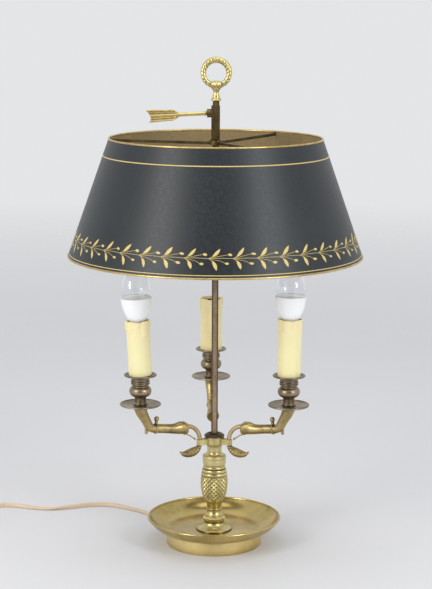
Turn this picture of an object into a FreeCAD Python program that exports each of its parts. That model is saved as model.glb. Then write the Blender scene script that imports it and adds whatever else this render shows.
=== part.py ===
import FreeCAD, Part
import math
import os
from FreeCAD import Placement, Rotation, Vector

# Three-light bouillotte lamp, in millimetres.
# The origin is on the table under the column, +Z is up, -Y is the front and the arrow points to -X.

# Foot and dish
FOOT_R = 54.9
FOOT_WALL = 1.6
FOOT_LIFT = 0.4
FELT_THICK = 1.5
DISH_FLOOR_Z = 16.0
DISH_SHEET = 1.3
DISH_FLAT_R = 50.0
RIM_R = 76.9
RIM_Z = 31.5
RIM_BEAD_R = 1.3
SOLDER_GAP = 0.05
BALLAST_THICK = 9.0
BALLAST_SIDE_GAP = 0.6
POCKET_R = 13.0
POCKET_DEPTH = 4.0
SEAT_GAP = 0.3

# Threaded stem that clamps the column together
STEM_R = 4.95
STEM_WALL = 1.05
STEM_PROUD = 0.2
STEM_IN_HUB = 8.0
THREAD_GAP = 0.05
SLIP_GAP = 0.2
WASHER_R = 11.0
WASHER_THICK = 1.0
NUT_ACROSS_FLATS = 14.0
NUT_THICK = 3.0

# Turned pieces of the column, from the dish upwards
BELL_HEIGHT = 8.2
BELL_R = 20.6
BELL_LIP = 1.3
MILLED_HEIGHT = 8.8
MILLED_R = 13.0
MILLED_SEAT_R = 10.6
WAIST_HEIGHT = 19.4
WAIST_R = 8.2
WAIST_BEAD_R = 9.2
WAIST_RING_R = 11.4
WAIST_RING_HEIGHT = 2.6
PINE_HEIGHT = 27.4
PINE_FOOT_R = 12.2
PINE_BELLY_R = 15.4
PINE_TOP_R = 14.9
RING_HEIGHT = 4.0
LOWER_RING_R = 14.8
UPPER_RING_R = 14.1
GROOVE_HEIGHT = 5.4
GROOVE_R = 11.9
BAND_HEIGHT = 7.1
BAND_R = 13.2
LIP_HEIGHT = 3.6
LIP_R = 13.6
NECK_HEIGHT = 12.6
NECK_R = 8.3
NECK_FOOT_R = 12.4
HUB_HEIGHT = 9.9
HUB_R = 11.3
CAP_HEIGHT = 3.6
CAP_R = 11.6
EDGE_ROUND = 0.5

# Brackets on the hub, one for each arm
ARM_AZIMUTHS = {"left": 210.0, "right": 330.0, "back": 92.7}
BRACKET_REACH = 19.5
BRACKET_WIDTH = 7.0
BRACKET_HEIGHT = 6.5
BRACKET_LIFT = 1.5
LEAD_BORE_R = 1.3
LEAD_R = 0.8
SUPPLY_R = 1.5
SUPPLY_Z = 3.6
LEAD_BEND = 2.4
BRANCH_START_R = 2.0

# Arms, in the upright plane of each arm
ARM_REACH = 95.6
TUBE_R = 2.45
TUBE_WALL = 0.95
TUBE_BEND_R = 17.5
TUBE_SOCKET = 2.0
TUBE_IN_HORN = 6.5
HORN_DROP = 2.4
HORN_RISE = 5.6
ELBOW_IN = 12.6
ELBOW_R = 7.0
RISER_LEAN_HEIGHT = 22.6
RISER_KNEE_R = 20.0
RISER_HEAD = 5.2
HORN_STATIONS = ((0.0, 6.4), (0.19, 6.1), (0.37, 5.2), (0.52, 5.0), (0.62, 5.0),
                 (0.74, 5.3), (0.84, 6.0), (0.93, 6.9), (1.0, 7.6))
HORN_BORE_R = 1.6
MOUTH_RING_R = 0.9
MOUTH_RING_AT = 0.03
LIP_BUD_R = 1.5
LIP_BUD_AT = 0.045
ELBOW_BAND_R = 1.1
ELBOW_BAND_AT = 0.52
KNOB_R = 2.9
KNOB_STEM_R = 1.8
KNOB_LIFT = 6.2
DROP_R = 2.0
DROP_OUT = 5.4
DROP_FALL = 3.8
TENDRIL_R = 0.6
TENDRIL_BUD_R = 1.3
TENDRIL_BEND = 12.0
TENDRIL_LINE = ((3.0, -5.6), (-4.0, -8.6), (-11.0, -13.6))
LEAF_ROOT = 1.0
LEAF_LINE = ((0.0, 0.0), (3.4, -4.2), (10.0, -6.6), (18.0, -7.2), (26.5, -5.4))
LEAF_HALF_WIDTHS = (2.2, 4.0, 6.2, 5.0, 1.6)
LEAF_HALF_THICKS = (1.9, 2.6, 3.4, 2.6, 1.0)

# Drip pan, candle cup, lampholder and sleeve on each riser
NIPPLE_WALL = 1.5
NIPPLE_IN_RISER = 4.0
NIPPLE_IN_HOLDER = 8.0
PAN_R = 23.1
PAN_HUB_R = 8.2
PAN_HUB_THICK = 1.6
PAN_SHEET = 1.2
PAN_RISE = 2.0
PAN_BEAD_R = 1.1
CUP_FOOT_R = 7.0
CUP_STEM_R = 6.2
CUP_STEM_HEIGHT = 9.6
KNOP_R = 12.4
KNOP_HEIGHT = 11.4
CUP_R = 9.9
CUP_HEIGHT = 9.8
CUP_BEAD = 0.8
FLANGE_R = 18.1
FLANGE_HEIGHT = 3.8
FLANGE_EDGE = 1.4
SEAT_DEPTH = 1.0
SLEEVE_R = 13.1
SLEEVE_TOP_R = 14.2
SLEEVE_WALL = 1.0
SLEEVE_HEIGHT = 62.0
SLEEVE_SIDE_GAP = 0.3
CANDLE_LIFTS = {"left": 0.0, "right": 2.4, "back": 0.0}
CANDLE_LEANS = {"left": 3.2, "right": 0.6, "back": 0.0}
HOLDER_R = 11.6
HOLDER_FOOT_R = 8.0
HOLDER_FOOT_HEIGHT = 12.0
HOLDER_CONE_HEIGHT = 9.0
HOLDER_THREAD_GAP = 0.55
HOLDER_BELOW_SLEEVE = 3.0
CONTACT_R = 7.15
CONTACT_WALL = 0.7
CONTACT_HEIGHT = 20.0
CONTACT_TOP_GAP = 2.0
TAB_R = 3.0
TAB_THICK = 1.5

# Candle bulbs with a small screw cap
BULB_ARMS = ("left", "right")
SCREW_R = 6.95
SCREW_HEIGHT = 17.5
SCREW_TIP_R = 2.6
BULB_NECK_R = 8.7
BULB_NECK_HEIGHT = 1.2
BULB_COLLAR_R = 17.7
BULB_COLLAR_HEIGHT = 28.6
BULB_COLLAR_FULLNESS = 2.2
BULB_GLOBE_R = 17.2
BULB_GLOBE_HEIGHT = 36.0
BULB_TOP_R = 11.0
BULB_GLASS = 1.0
BULB_JOINT_GAP = 0.05

# Square rod and finial
ROD_SIDE = 7.4
ROD_CHAMFER = 1.1
ROD_LENGTH = 387.5
ROD_SEAT_DEPTH = 3.9
ROD_SEAT_GAP = 0.1
FINIAL_COLLAR_R = 5.9
FINIAL_COLLAR_HEIGHT = 5.6
FINIAL_NECK_R = 3.4
FINIAL_NECK_HEIGHT = 6.4
SHELL_R = 7.4
SHELL_HEIGHT = 9.9
RING_SEAT = 1.1
RING_MIDDLE_R = 14.3
RING_SECTION_R = 3.2
SPIGOT_R = 2.0
SPIGOT_LENGTH = 8.0

# Shade: cone, rim wires, spider, sleeve, shoe and arrow
SHADE_TOP_R = 119.3
SHADE_BOTTOM_R = 165.4
SHADE_HEIGHT = 131.2
SHADE_SHEET = 0.6
SHADE_WIRE_R = 1.1
SHADE_RIM_LIFT = 3.6
SPIDER_AZIMUTHS = (55.0, 175.0, 295.0)
SPIDER_BAR_WIDTH = 2.4
SPIDER_BAR_HEIGHT = 3.2
SPIDER_BAR_RISE = 2.0
SPIDER_HUB_R = 7.6
SLEEVE_TUBE_HEIGHT = 40.0
SLEEVE_TUBE_WALL = 0.6
SLEEVE_TOP_DROP = 5.6
SLIDE_GAP = 0.1
SLEEVE_FLANGE_THICK = 1.4
RIVET_R = 1.1
RIVET_CIRCLE_R = 6.2
SHOE_THICK = 0.55
SHOE_HEIGHT = 24.0
SHOE_BELOW_TOP = 0.4
SHOE_TRAVEL = 0.3
SHOE_GAP = 0.04
SHOE_STUD_R = 1.9
ARROW_DROP = 8.3
ARROW_DROOP = 3.2
BOSS_R = 4.7
BOSS_LENGTH = 4.9
SCREW_SHAFT_R = 2.3
SCREW_RUN_GAP = 0.06
SHAFT_LENGTH = 33.0
VANE_LENGTH = 35.0
VANE_HALF_HEIGHT = 6.5
VANE_THICK = 3.0
VANE_NOTCH = 6.0
VANE_SHOULDER = 9.0
VANE_RIB_R = 1.0

# Flat twin flex, its relief, switch, coil and plug
FLEX_WIDTH = 5.4
FLEX_Z = 2.7
EXIT_AZIMUTH = 130.0
EXIT_Z = 5.6
RELIEF_R = 3.9
RELIEF_TIP_R = 3.3
RELIEF_LENGTH = 12.0
RELIEF_FLANGE_R = 5.2
RELIEF_FLANGE_THICK = 1.2
FLEX_GAP = 0.05
TANGENT_SHARE = 0.45
FLEX_ROUTE = ((-50.5, 60.2, 5.6), (-67.5, 85.0, 2.7), (-86.0, 107.5, 2.7), (-108.0, 124.5, 2.7),
              (-131.0, 135.0, 2.7), (-152.0, 134.0, 2.7), (-172.0, 124.5, 2.7), (-194.0, 116.8, 2.7),
              (-217.0, 119.3, 2.7), (-240.0, 127.0, 2.7), (-259.0, 130.6, 2.7), (-276.7, 123.8, 2.7),
              (-287.5, 109.4, 5.0), (-289.1, 91.5, 6.5), (-289.9, 74.0, 6.5))
SWITCH_LENGTH = 58.0
SWITCH_WIDTH = 25.0
SWITCH_HEIGHT = 15.0
SWITCH_WALL = 2.0
SWITCH_CORNER_R = 7.0
SWITCH_EDGE_R = 1.2
SWITCH_AXIS_Z = 6.5
SWITCH_NOSE_R = 5.0
SWITCH_NOSE_LENGTH = 6.0
FLEX_IN_SWITCH = 4.0
FLEX_LEAD_OUT = 13.0
ROCKER_LENGTH = 20.0
ROCKER_WIDTH = 11.0
ROCKER_DEPTH = 5.0
ROCKER_PROUD = 1.6
ROCKER_TILT = 8.0
ROCKER_GAP = 0.4
ROCKER_PIN_R = 1.2
ROCKER_PIN_LENGTH = 1.4
COIL_X = -321.0
COIL_Y = -44.0
COIL_MIDDLE_R = 29.0
COIL_WIDTH = 16.6
COIL_HEIGHT = 11.2
COIL_ROUND = 3.0
PLUG_X = -355.5
PLUG_TAIL_LENGTH = 18.0
PLUG_TAIL_R = 3.7
PLUG_BODY_LENGTH = 36.0
PLUG_BODY_WIDTH = 35.0
PLUG_BACK_WIDTH = 18.0
PLUG_BODY_HEIGHT = 13.7
PLUG_EDGE_R = 2.0
PIN_R = 2.0
PIN_LENGTH = 19.0
PIN_SPACING = 19.0
PIN_ROOT = 8.0
PIN_ROOT_R = 1.5
PLUG_FROM_COIL = 21.0

UP = Vector(0, 0, 1)
ORIGIN = Vector(0, 0, 0)

# Heights that follow from the sizes above
dish_under_z = DISH_FLOOR_Z - DISH_SHEET
pocket_top_z = dish_under_z - BALLAST_THICK + POCKET_DEPTH
nut_z = pocket_top_z - WASHER_THICK - NUT_THICK
bell_z = DISH_FLOOR_Z
milled_z = bell_z + BELL_HEIGHT
waist_z = milled_z + MILLED_HEIGHT
pine_z = waist_z + WAIST_HEIGHT
collar_z = pine_z + PINE_HEIGHT
COLLAR_HEIGHT = 2 * RING_HEIGHT + GROOVE_HEIGHT + BAND_HEIGHT + LIP_HEIGHT
neck_z = collar_z + COLLAR_HEIGHT
hub_z = neck_z + NECK_HEIGHT
hub_top_z = hub_z + HUB_HEIGHT
bracket_z = hub_z + BRACKET_LIFT
bracket_top_z = bracket_z + BRACKET_HEIGHT
lead_z = bracket_z + BRACKET_HEIGHT / 2 - 0.65
stem_top_z = neck_z + STEM_IN_HUB
rod_z = hub_top_z - ROD_SEAT_DEPTH
rod_top_z = rod_z + ROD_LENGTH
column_bore_r = STEM_R + SLIP_GAP
stem_bore_r = STEM_R - STEM_WALL

tube_z = bracket_top_z + TUBE_BEND_R
mouth_rho = BRACKET_REACH + TUBE_BEND_R
mouth_z = tube_z - HORN_DROP
elbow_rho = ARM_REACH - ELBOW_IN
elbow_z = mouth_z + HORN_RISE
knee_z = elbow_z + RISER_LEAN_HEIGHT
riser_top_z = knee_z + RISER_HEAD
cup_z = riser_top_z + PAN_HUB_THICK
flange_z = cup_z + CUP_STEM_HEIGHT + KNOP_HEIGHT + CUP_HEIGHT
flange_top_z = flange_z + FLANGE_HEIGHT
sleeve_z = flange_top_z - SEAT_DEPTH
sleeve_top_z = sleeve_z + SLEEVE_HEIGHT
holder_top_z = sleeve_top_z - HOLDER_BELOW_SLEEVE
contact_top_z = holder_top_z - CONTACT_TOP_GAP
contact_z = contact_top_z - CONTACT_HEIGHT
nipple_z = riser_top_z - NIPPLE_IN_RISER
nipple_top_z = sleeve_z + NIPPLE_IN_HOLDER
nipple_bore_r = STEM_R - NIPPLE_WALL
cup_bore_r = STEM_R + SLIP_GAP

slider_top_z = rod_top_z - SLEEVE_TOP_DROP
slider_z = slider_top_z - SLEEVE_TUBE_HEIGHT
shade_top_z = slider_z + SHADE_RIM_LIFT
shade_bottom_z = shade_top_z - SHADE_HEIGHT
slider_right_x = ROD_SIDE / 2 + SLIDE_GAP
shoe_x = ROD_SIDE / 2 + SHOE_GAP
slider_left_x = shoe_x + SHOE_THICK + SHOE_TRAVEL + SHOE_GAP
slider_half_y = ROD_SIDE / 2 + SLIDE_GAP
slider_left_face = slider_left_x + SLEEVE_TUBE_WALL
arrow_z = slider_top_z - ARROW_DROP


def unit(vector):
    return Vector(vector).normalize()


def line(start, end):
    return Part.makeLine(start, end)


def arc(start, middle, end):
    return Part.Arc(start, middle, end).toShape()


def turned(base_z, outline):
    """A full revolve about Z. An outline point is (r, z), or (r, z, r, z): through the first, to the second."""
    corners = [Vector(point[-2], 0, base_z + point[-1]) for point in outline]
    edges = []
    for index, point in enumerate(outline):
        start = corners[index - 1]
        if len(point) == 4:
            edges.append(arc(start, Vector(point[0], 0, base_z + point[1]), corners[index]))
        elif (corners[index] - start).Length > 0:
            edges.append(line(start, corners[index]))
    face = Part.Face(Part.Wire(edges[1:] + edges[:1]))
    return face.revolve(ORIGIN, UP, 360)


def pipe_edges(points, cut_length):
    """Straight runs joined by tangent arcs. cut_length gives how much of each run a corner's arc takes."""
    edges = []
    radii = []
    here = points[0]
    for before, corner, after in zip(points, points[1:], points[2:]):
        back = unit(before - corner)
        ahead = unit(after - corner)
        half = back.getAngle(ahead) / 2
        cut = cut_length(before, corner, after, half)
        radius = cut * math.tan(half)
        middle_way = unit(back + ahead)
        centre = corner + middle_way * (radius / math.sin(half))
        edges.append(line(here, corner + back * cut))
        here = corner + ahead * cut
        edges.append(arc(corner + back * cut, centre - middle_way * radius, here))
        radii.append(radius)
    edges.append(line(here, points[-1]))
    return edges, radii


def bent(points, bend_r):
    """Edges of a path whose corners all have one bend radius."""
    return pipe_edges(points, lambda before, corner, after, half: bend_r / math.tan(half))[0]


def swept(edges, radius):
    """A round bar along a path of edges."""
    start = edges[0].valueAt(edges[0].FirstParameter)
    ahead = edges[0].tangentAt(edges[0].FirstParameter)
    profile = Part.Wire(Part.Circle(start, ahead, radius).toShape())
    return Part.Wire(edges).makePipeShell([profile], True, False)


def flat_point(rho, z):
    """A point in the upright plane of an arm that reaches along +X."""
    return Vector(rho, 0, z)


def along(edges, distance):
    """The point and the direction at a distance along a path of edges."""
    for edge in edges:
        if distance <= edge.Length or edge is edges[-1]:
            at = edge.getParameterByLength(min(distance, edge.Length))
            return edge.valueAt(at), edge.tangentAt(at)
        distance -= edge.Length


def across(point, ahead):
    """A placement at a point, with Z along the path and X along the lamp's +Y."""
    side = Vector(0, 1, 0)
    return Placement(point, Rotation(side, ahead.cross(side), ahead, "ZXY"))


def oval_wire(half_x, half_y, placement):
    shape = Part.Circle(ORIGIN, UP, half_x).toShape()
    if half_x != half_y:
        big, small = max(half_x, half_y), min(half_x, half_y)
        shape = Part.Ellipse(ORIGIN, big, small).toShape()
        if half_y > half_x:
            shape.rotate(ORIGIN, UP, 90)
    shape.Placement = placement.multiply(shape.Placement)
    return Part.Wire(shape)


def to_arm(shape, azimuth):
    """A copy of a shape modelled along +X, turned to an arm's azimuth."""
    copy = shape.copy()
    copy.rotate(ORIGIN, UP, azimuth)
    return copy


def cylinder(radius, height, base, direction=UP):
    return Part.makeCylinder(radius, height, base, direction)


def ring(outer_r, inner_r, z, height):
    return cylinder(outer_r, height, Vector(0, 0, z)).cut(cylinder(inner_r, height, Vector(0, 0, z)))


def centred_box(x0, x1, half_y, z0, z1):
    return Part.makeBox(x1 - x0, 2 * half_y, z1 - z0, Vector(x0, -half_y, z0))


# Foot, dish, ballast and felt
def dish_curve():
    """Radius and centre height of the arc that carries the dish's wall from its flat floor to the rim bead."""
    out = RIM_R - RIM_BEAD_R - DISH_FLAT_R
    rise = RIM_Z - RIM_BEAD_R - (DISH_FLOOR_Z - DISH_SHEET / 2)
    radius = (out * out + rise * rise) / (2 * rise)
    return radius, DISH_FLOOR_Z - DISH_SHEET / 2 + radius, math.asin(out / radius)


def dish_under_at(r):
    radius, centre_z, _ = dish_curve()
    outer = radius + DISH_SHEET / 2
    return centre_z - math.sqrt(outer * outer - (r - DISH_FLAT_R) ** 2)


def base_dish():
    radius, centre_z, sweep = dish_curve()

    def wall(offset, share):
        angle = sweep * share
        reach = radius + offset
        return DISH_FLAT_R + reach * math.sin(angle), centre_z - reach * math.cos(angle)

    half = DISH_SHEET / 2
    outline = [(column_bore_r, dish_under_z), (DISH_FLAT_R, dish_under_z),
               wall(half, 0.5) + wall(half, 1.0), wall(-half, 1.0),
               wall(-half, 0.5) + (DISH_FLAT_R, DISH_FLOOR_Z), (column_bore_r, DISH_FLOOR_Z)]
    bead = Part.makeTorus(RIM_R - RIM_BEAD_R, RIM_BEAD_R, Vector(0, 0, RIM_Z - RIM_BEAD_R), UP)
    return turned(0, outline).fuse(bead)


def exit_direction():
    angle = math.radians(EXIT_AZIMUTH)
    return Vector(math.cos(angle), math.sin(angle), 0)


def foot_ring():
    top = dish_under_at(FOOT_R - FOOT_WALL) - SOLDER_GAP
    wall = ring(FOOT_R, FOOT_R - FOOT_WALL, FOOT_LIFT, top - FOOT_LIFT)
    hole = cylinder(RELIEF_R + FLEX_GAP, 2 * FOOT_WALL + FOOT_R, Vector(0, 0, EXIT_Z), exit_direction())
    return wall.cut(hole)


def ballast_weight():
    bottom = dish_under_z - BALLAST_THICK
    outer = FOOT_R - FOOT_WALL - BALLAST_SIDE_GAP
    disc = ring(min(outer, DISH_FLAT_R), column_bore_r, bottom, BALLAST_THICK)
    pocket = cylinder(POCKET_R, POCKET_DEPTH, Vector(0, 0, bottom))
    half = RELIEF_FLANGE_R + SEAT_GAP
    channel = Part.makeBox(outer, 2 * half, EXIT_Z + half - bottom, Vector(0, -half, bottom))
    return disc.cut(pocket).cut(to_arm(channel, EXIT_AZIMUTH))


def base_felt():
    return cylinder(FOOT_R - FOOT_WALL - SEAT_GAP, FELT_THICK, ORIGIN)


def relief_root():
    """Distance from the axis to the inner face of the relief's flange, which lies flat inside the foot ring."""
    inner_r = FOOT_R - FOOT_WALL
    return math.sqrt(inner_r ** 2 - RELIEF_FLANGE_R ** 2) - FLEX_GAP - RELIEF_FLANGE_THICK


def cord_relief():
    """Tapered rubber relief: inner flange behind the foot ring, body through its wall, taper outside."""
    root = relief_root()
    flange = cylinder(RELIEF_FLANGE_R, RELIEF_FLANGE_THICK, Vector(root, 0, EXIT_Z), Vector(1, 0, 0))
    flange = flange.common(Part.makeBox(2 * RELIEF_FLANGE_THICK, 4 * RELIEF_R, 4 * RELIEF_R,
                                        Vector(root, -2 * RELIEF_R, FELT_THICK + SEAT_GAP)))
    neck = cylinder(RELIEF_R, FOOT_R - root, Vector(root, 0, EXIT_Z), Vector(1, 0, 0))
    taper = Part.makeCone(RELIEF_R, RELIEF_TIP_R, RELIEF_LENGTH, Vector(FOOT_R, 0, EXIT_Z), Vector(1, 0, 0))
    bore = cylinder(FLEX_WIDTH / 2 + FLEX_GAP, FOOT_R + RELIEF_LENGTH, Vector(0, 0, EXIT_Z), Vector(1, 0, 0))
    return to_arm(flange.fuse(neck).fuse(taper).cut(bore), EXIT_AZIMUTH)


# Stem, washer and nut
def stem_tube():
    bottom = nut_z - STEM_PROUD
    return ring(STEM_R, stem_bore_r, bottom, stem_top_z - bottom)


def stem_nut():
    nut_r = NUT_ACROSS_FLATS / 2 / math.cos(math.radians(30))
    corners = [Vector(nut_r * math.cos(math.radians(60 * k)), nut_r * math.sin(math.radians(60 * k)), nut_z)
               for k in range(7)]
    nut = Part.Face(Part.makePolygon(corners)).extrude(UP * NUT_THICK)
    nut = nut.cut(cylinder(STEM_R + THREAD_GAP, NUT_THICK, Vector(0, 0, nut_z)))
    washer = ring(WASHER_R, column_bore_r, nut_z + NUT_THICK, WASHER_THICK)
    return Part.makeCompound([washer, nut])


# Turned pieces of the column
def column_bell():
    h = BELL_HEIGHT
    top_r = MILLED_SEAT_R + 1.2
    return turned(bell_z, [(column_bore_r, 0), (BELL_R, 0), (BELL_R, BELL_LIP),
                           (BELL_R - 2.2, BELL_LIP + 1.2),
                           ((BELL_R + top_r) / 2 - 1.8, h * 0.55, top_r, h), (column_bore_r, h)])


def milled_ring():
    h = MILLED_HEIGHT
    seat = MILLED_SEAT_R
    groove = seat + EDGE_ROUND
    return turned(milled_z, [(column_bore_r, 0), (groove, 0), (groove, h * 0.12),
                             (MILLED_R, h * 0.45, groove, h * 0.8), (seat, h * 0.86), (seat, h),
                             (column_bore_r, h)])


def column_waist():
    ring_foot = WAIST_HEIGHT - WAIST_RING_HEIGHT
    neck_at = ring_foot * 0.38
    bead = WAIST_BEAD_R - WAIST_R
    cone_r = WAIST_RING_R - bead
    return turned(waist_z, [(column_bore_r, 0), (MILLED_SEAT_R, 0),
                            (WAIST_R + 0.45, neck_at * 0.5, WAIST_R, neck_at),
                            (WAIST_BEAD_R, neck_at + bead, WAIST_R, neck_at + 2 * bead),
                            (WAIST_R + 0.4, (neck_at + ring_foot) / 2, cone_r, ring_foot),
                            (WAIST_RING_R, ring_foot + WAIST_RING_HEIGHT / 2, cone_r, WAIST_HEIGHT),
                            (column_bore_r, WAIST_HEIGHT)])


def pineapple_body():
    h = PINE_HEIGHT
    return turned(pine_z, [(column_bore_r, 0), (PINE_FOOT_R, 0),
                           (PINE_BELLY_R, h * 0.52, PINE_TOP_R, h), (column_bore_r, h)])


def column_collar():
    """Two rounded rings, a groove with a bead, a straight band and an overhanging lip."""
    step = EDGE_ROUND
    groove_z = 2 * RING_HEIGHT
    bead_z = groove_z + GROOVE_HEIGHT * 0.35
    bead_end = groove_z + GROOVE_HEIGHT * 0.7
    band_z = groove_z + GROOVE_HEIGHT
    lip_z = band_z + BAND_HEIGHT
    return turned(collar_z, [
        (column_bore_r, 0), (LOWER_RING_R - step, 0),
        (LOWER_RING_R, RING_HEIGHT / 2, LOWER_RING_R - step, RING_HEIGHT),
        (UPPER_RING_R - step, RING_HEIGHT),
        (UPPER_RING_R, RING_HEIGHT * 1.5, UPPER_RING_R - step, groove_z),
        (GROOVE_R, groove_z), (GROOVE_R + 2 * step, bead_z, GROOVE_R, bead_end), (GROOVE_R, band_z),
        (BAND_R - step, band_z), (BAND_R, band_z + step), (BAND_R, lip_z),
        (LIP_R, lip_z + step), (LIP_R, lip_z + LIP_HEIGHT - step),
        (LIP_R - step, lip_z + LIP_HEIGHT), (column_bore_r, lip_z + LIP_HEIGHT)])


def lead_path():
    """Route of one lamp lead, in the plane of an arm: stem, hub, bracket, tube, horn, riser and holder."""
    return [flat_point(BRANCH_START_R, stem_top_z + 2 * LEAD_R), flat_point(BRANCH_START_R, lead_z),
            flat_point(BRACKET_REACH, lead_z), flat_point(BRACKET_REACH, tube_z),
            flat_point(mouth_rho + TUBE_IN_HORN, tube_z), flat_point(elbow_rho, elbow_z),
            flat_point(ARM_REACH, knee_z), flat_point(ARM_REACH, nipple_top_z - LEAD_R)]


def arm_hub():
    h = NECK_HEIGHT
    block_r = HUB_R
    hub = turned(neck_z, [(0, 0), (NECK_FOOT_R, 0), (NECK_FOOT_R, EDGE_ROUND),
                          (NECK_R + 0.5, h * 0.18, NECK_R, h * 0.42),
                          (NECK_R + 0.2, h * 0.75, NECK_R + 1.4, h), (block_r - 1.2, h),
                          (block_r, h + 1.4), (block_r, h + HUB_HEIGHT - EDGE_ROUND),
                          (block_r - EDGE_ROUND, h + HUB_HEIGHT), (0, h + HUB_HEIGHT)])
    half = BRACKET_WIDTH / 2
    brackets = []
    for azimuth in ARM_AZIMUTHS.values():
        bar = centred_box(NECK_R, BRACKET_REACH, half, bracket_z, bracket_top_z)
        end = cylinder(half, BRACKET_HEIGHT, Vector(BRACKET_REACH, 0, bracket_z))
        brackets.append(to_arm(bar.fuse(end), azimuth))
    hub = hub.fuse(brackets)
    hub = hub.cut(cylinder(STEM_R + THREAD_GAP, STEM_IN_HUB, Vector(0, 0, neck_z)))
    hub = hub.cut(cylinder(stem_bore_r - EDGE_ROUND, rod_z - stem_top_z, Vector(0, 0, stem_top_z)))
    for azimuth in ARM_AZIMUTHS.values():
        lead = cylinder(LEAD_BORE_R, BRACKET_REACH, Vector(0, 0, lead_z), Vector(1, 0, 0))
        rise = cylinder(LEAD_BORE_R, bracket_top_z - lead_z, Vector(BRACKET_REACH, 0, lead_z))
        corner = Part.makeSphere(LEAD_BORE_R, Vector(BRACKET_REACH, 0, lead_z))
        socket_end = Vector(BRACKET_REACH, 0, bracket_top_z - TUBE_SOCKET)
        socket = cylinder(TUBE_R + THREAD_GAP, TUBE_SOCKET, socket_end)
        for hole in (lead, rise, corner, socket):
            hub = hub.cut(to_arm(hole, azimuth))
    seat = ROD_SIDE / 2 + ROD_SEAT_GAP
    return hub.cut(centred_box(-seat, seat, seat, rod_z, hub_top_z))


def rod_cap():
    h = CAP_HEIGHT
    cap = turned(hub_top_z, [(0, 0), (CAP_R, 0), (CAP_R, h * 0.25),
                             (CAP_R * 0.8, h * 0.8, CAP_R * 0.5, h), (0, h)])
    seat = ROD_SIDE / 2 + ROD_SEAT_GAP
    return cap.cut(centred_box(-seat, seat, seat, hub_top_z, hub_top_z + h))


def main_rod():
    half = ROD_SIDE / 2
    rod = centred_box(-half, half, half, rod_z, rod_top_z)
    upright = [edge for edge in rod.Edges if edge.Length > ROD_LENGTH / 2]
    rod = rod.makeChamfer(ROD_CHAMFER, upright)
    return rod.cut(cylinder(SPIGOT_R + THREAD_GAP, SPIGOT_LENGTH + SEAT_GAP,
                            Vector(0, 0, rod_top_z - SPIGOT_LENGTH - SEAT_GAP)))


def finial():
    """Flared collar, thin neck and a leafy cup, with a round ring standing in the cup."""
    collar = FINIAL_COLLAR_HEIGHT
    neck = collar + FINIAL_NECK_HEIGHT
    top = neck + SHELL_HEIGHT
    neck_r = FINIAL_NECK_R + 0.6
    body = turned(rod_top_z, [
        (0, -SPIGOT_LENGTH), (SPIGOT_R, -SPIGOT_LENGTH), (SPIGOT_R, 0),
        (FINIAL_COLLAR_R, 0), (FINIAL_COLLAR_R, 1.2), (FINIAL_COLLAR_R - 1.4, collar * 0.55, neck_r, collar),
        (FINIAL_NECK_R - 0.3, collar + FINIAL_NECK_HEIGHT * 0.4, neck_r, neck),
        (SHELL_R * 0.86, neck + SHELL_HEIGHT * 0.3, SHELL_R, neck + SHELL_HEIGHT * 0.65),
        (SHELL_R * 0.75, neck + SHELL_HEIGHT * 0.92, SHELL_R * 0.4, top), (0, top)])
    loop_z = rod_top_z + neck + RING_SEAT + RING_SECTION_R + RING_MIDDLE_R
    loop = Part.makeTorus(RING_MIDDLE_R, RING_SECTION_R, Vector(0, 0, loop_z), Vector(0, 1, 0))
    return body.fuse(loop)


# One arm, modelled along +X
def tube_edges():
    points = [flat_point(BRACKET_REACH, bracket_top_z - TUBE_SOCKET), flat_point(BRACKET_REACH, tube_z),
              flat_point(mouth_rho + TUBE_IN_HORN, tube_z)]
    return bent(points, TUBE_BEND_R)


def arm_tube():
    edges = tube_edges()
    return swept(edges, TUBE_R).cut(swept(edges, TUBE_R - TUBE_WALL))


def horn_edges(start_rho=None, start_z=None):
    """The horn's centre line, from its mouth round the elbow and the knee to the riser's top."""
    elbow = flat_point(elbow_rho, elbow_z)
    knee = flat_point(ARM_REACH, knee_z)
    start = flat_point(mouth_rho, mouth_z)
    if start_rho is not None:
        start = flat_point(start_rho, start_z)
    radii = {id(elbow): ELBOW_R, id(knee): RISER_KNEE_R}
    points = [start, elbow, knee, flat_point(ARM_REACH, riser_top_z)]
    return pipe_edges(points, lambda before, corner, after, half: radii[id(corner)] / math.tan(half))[0]


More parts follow.
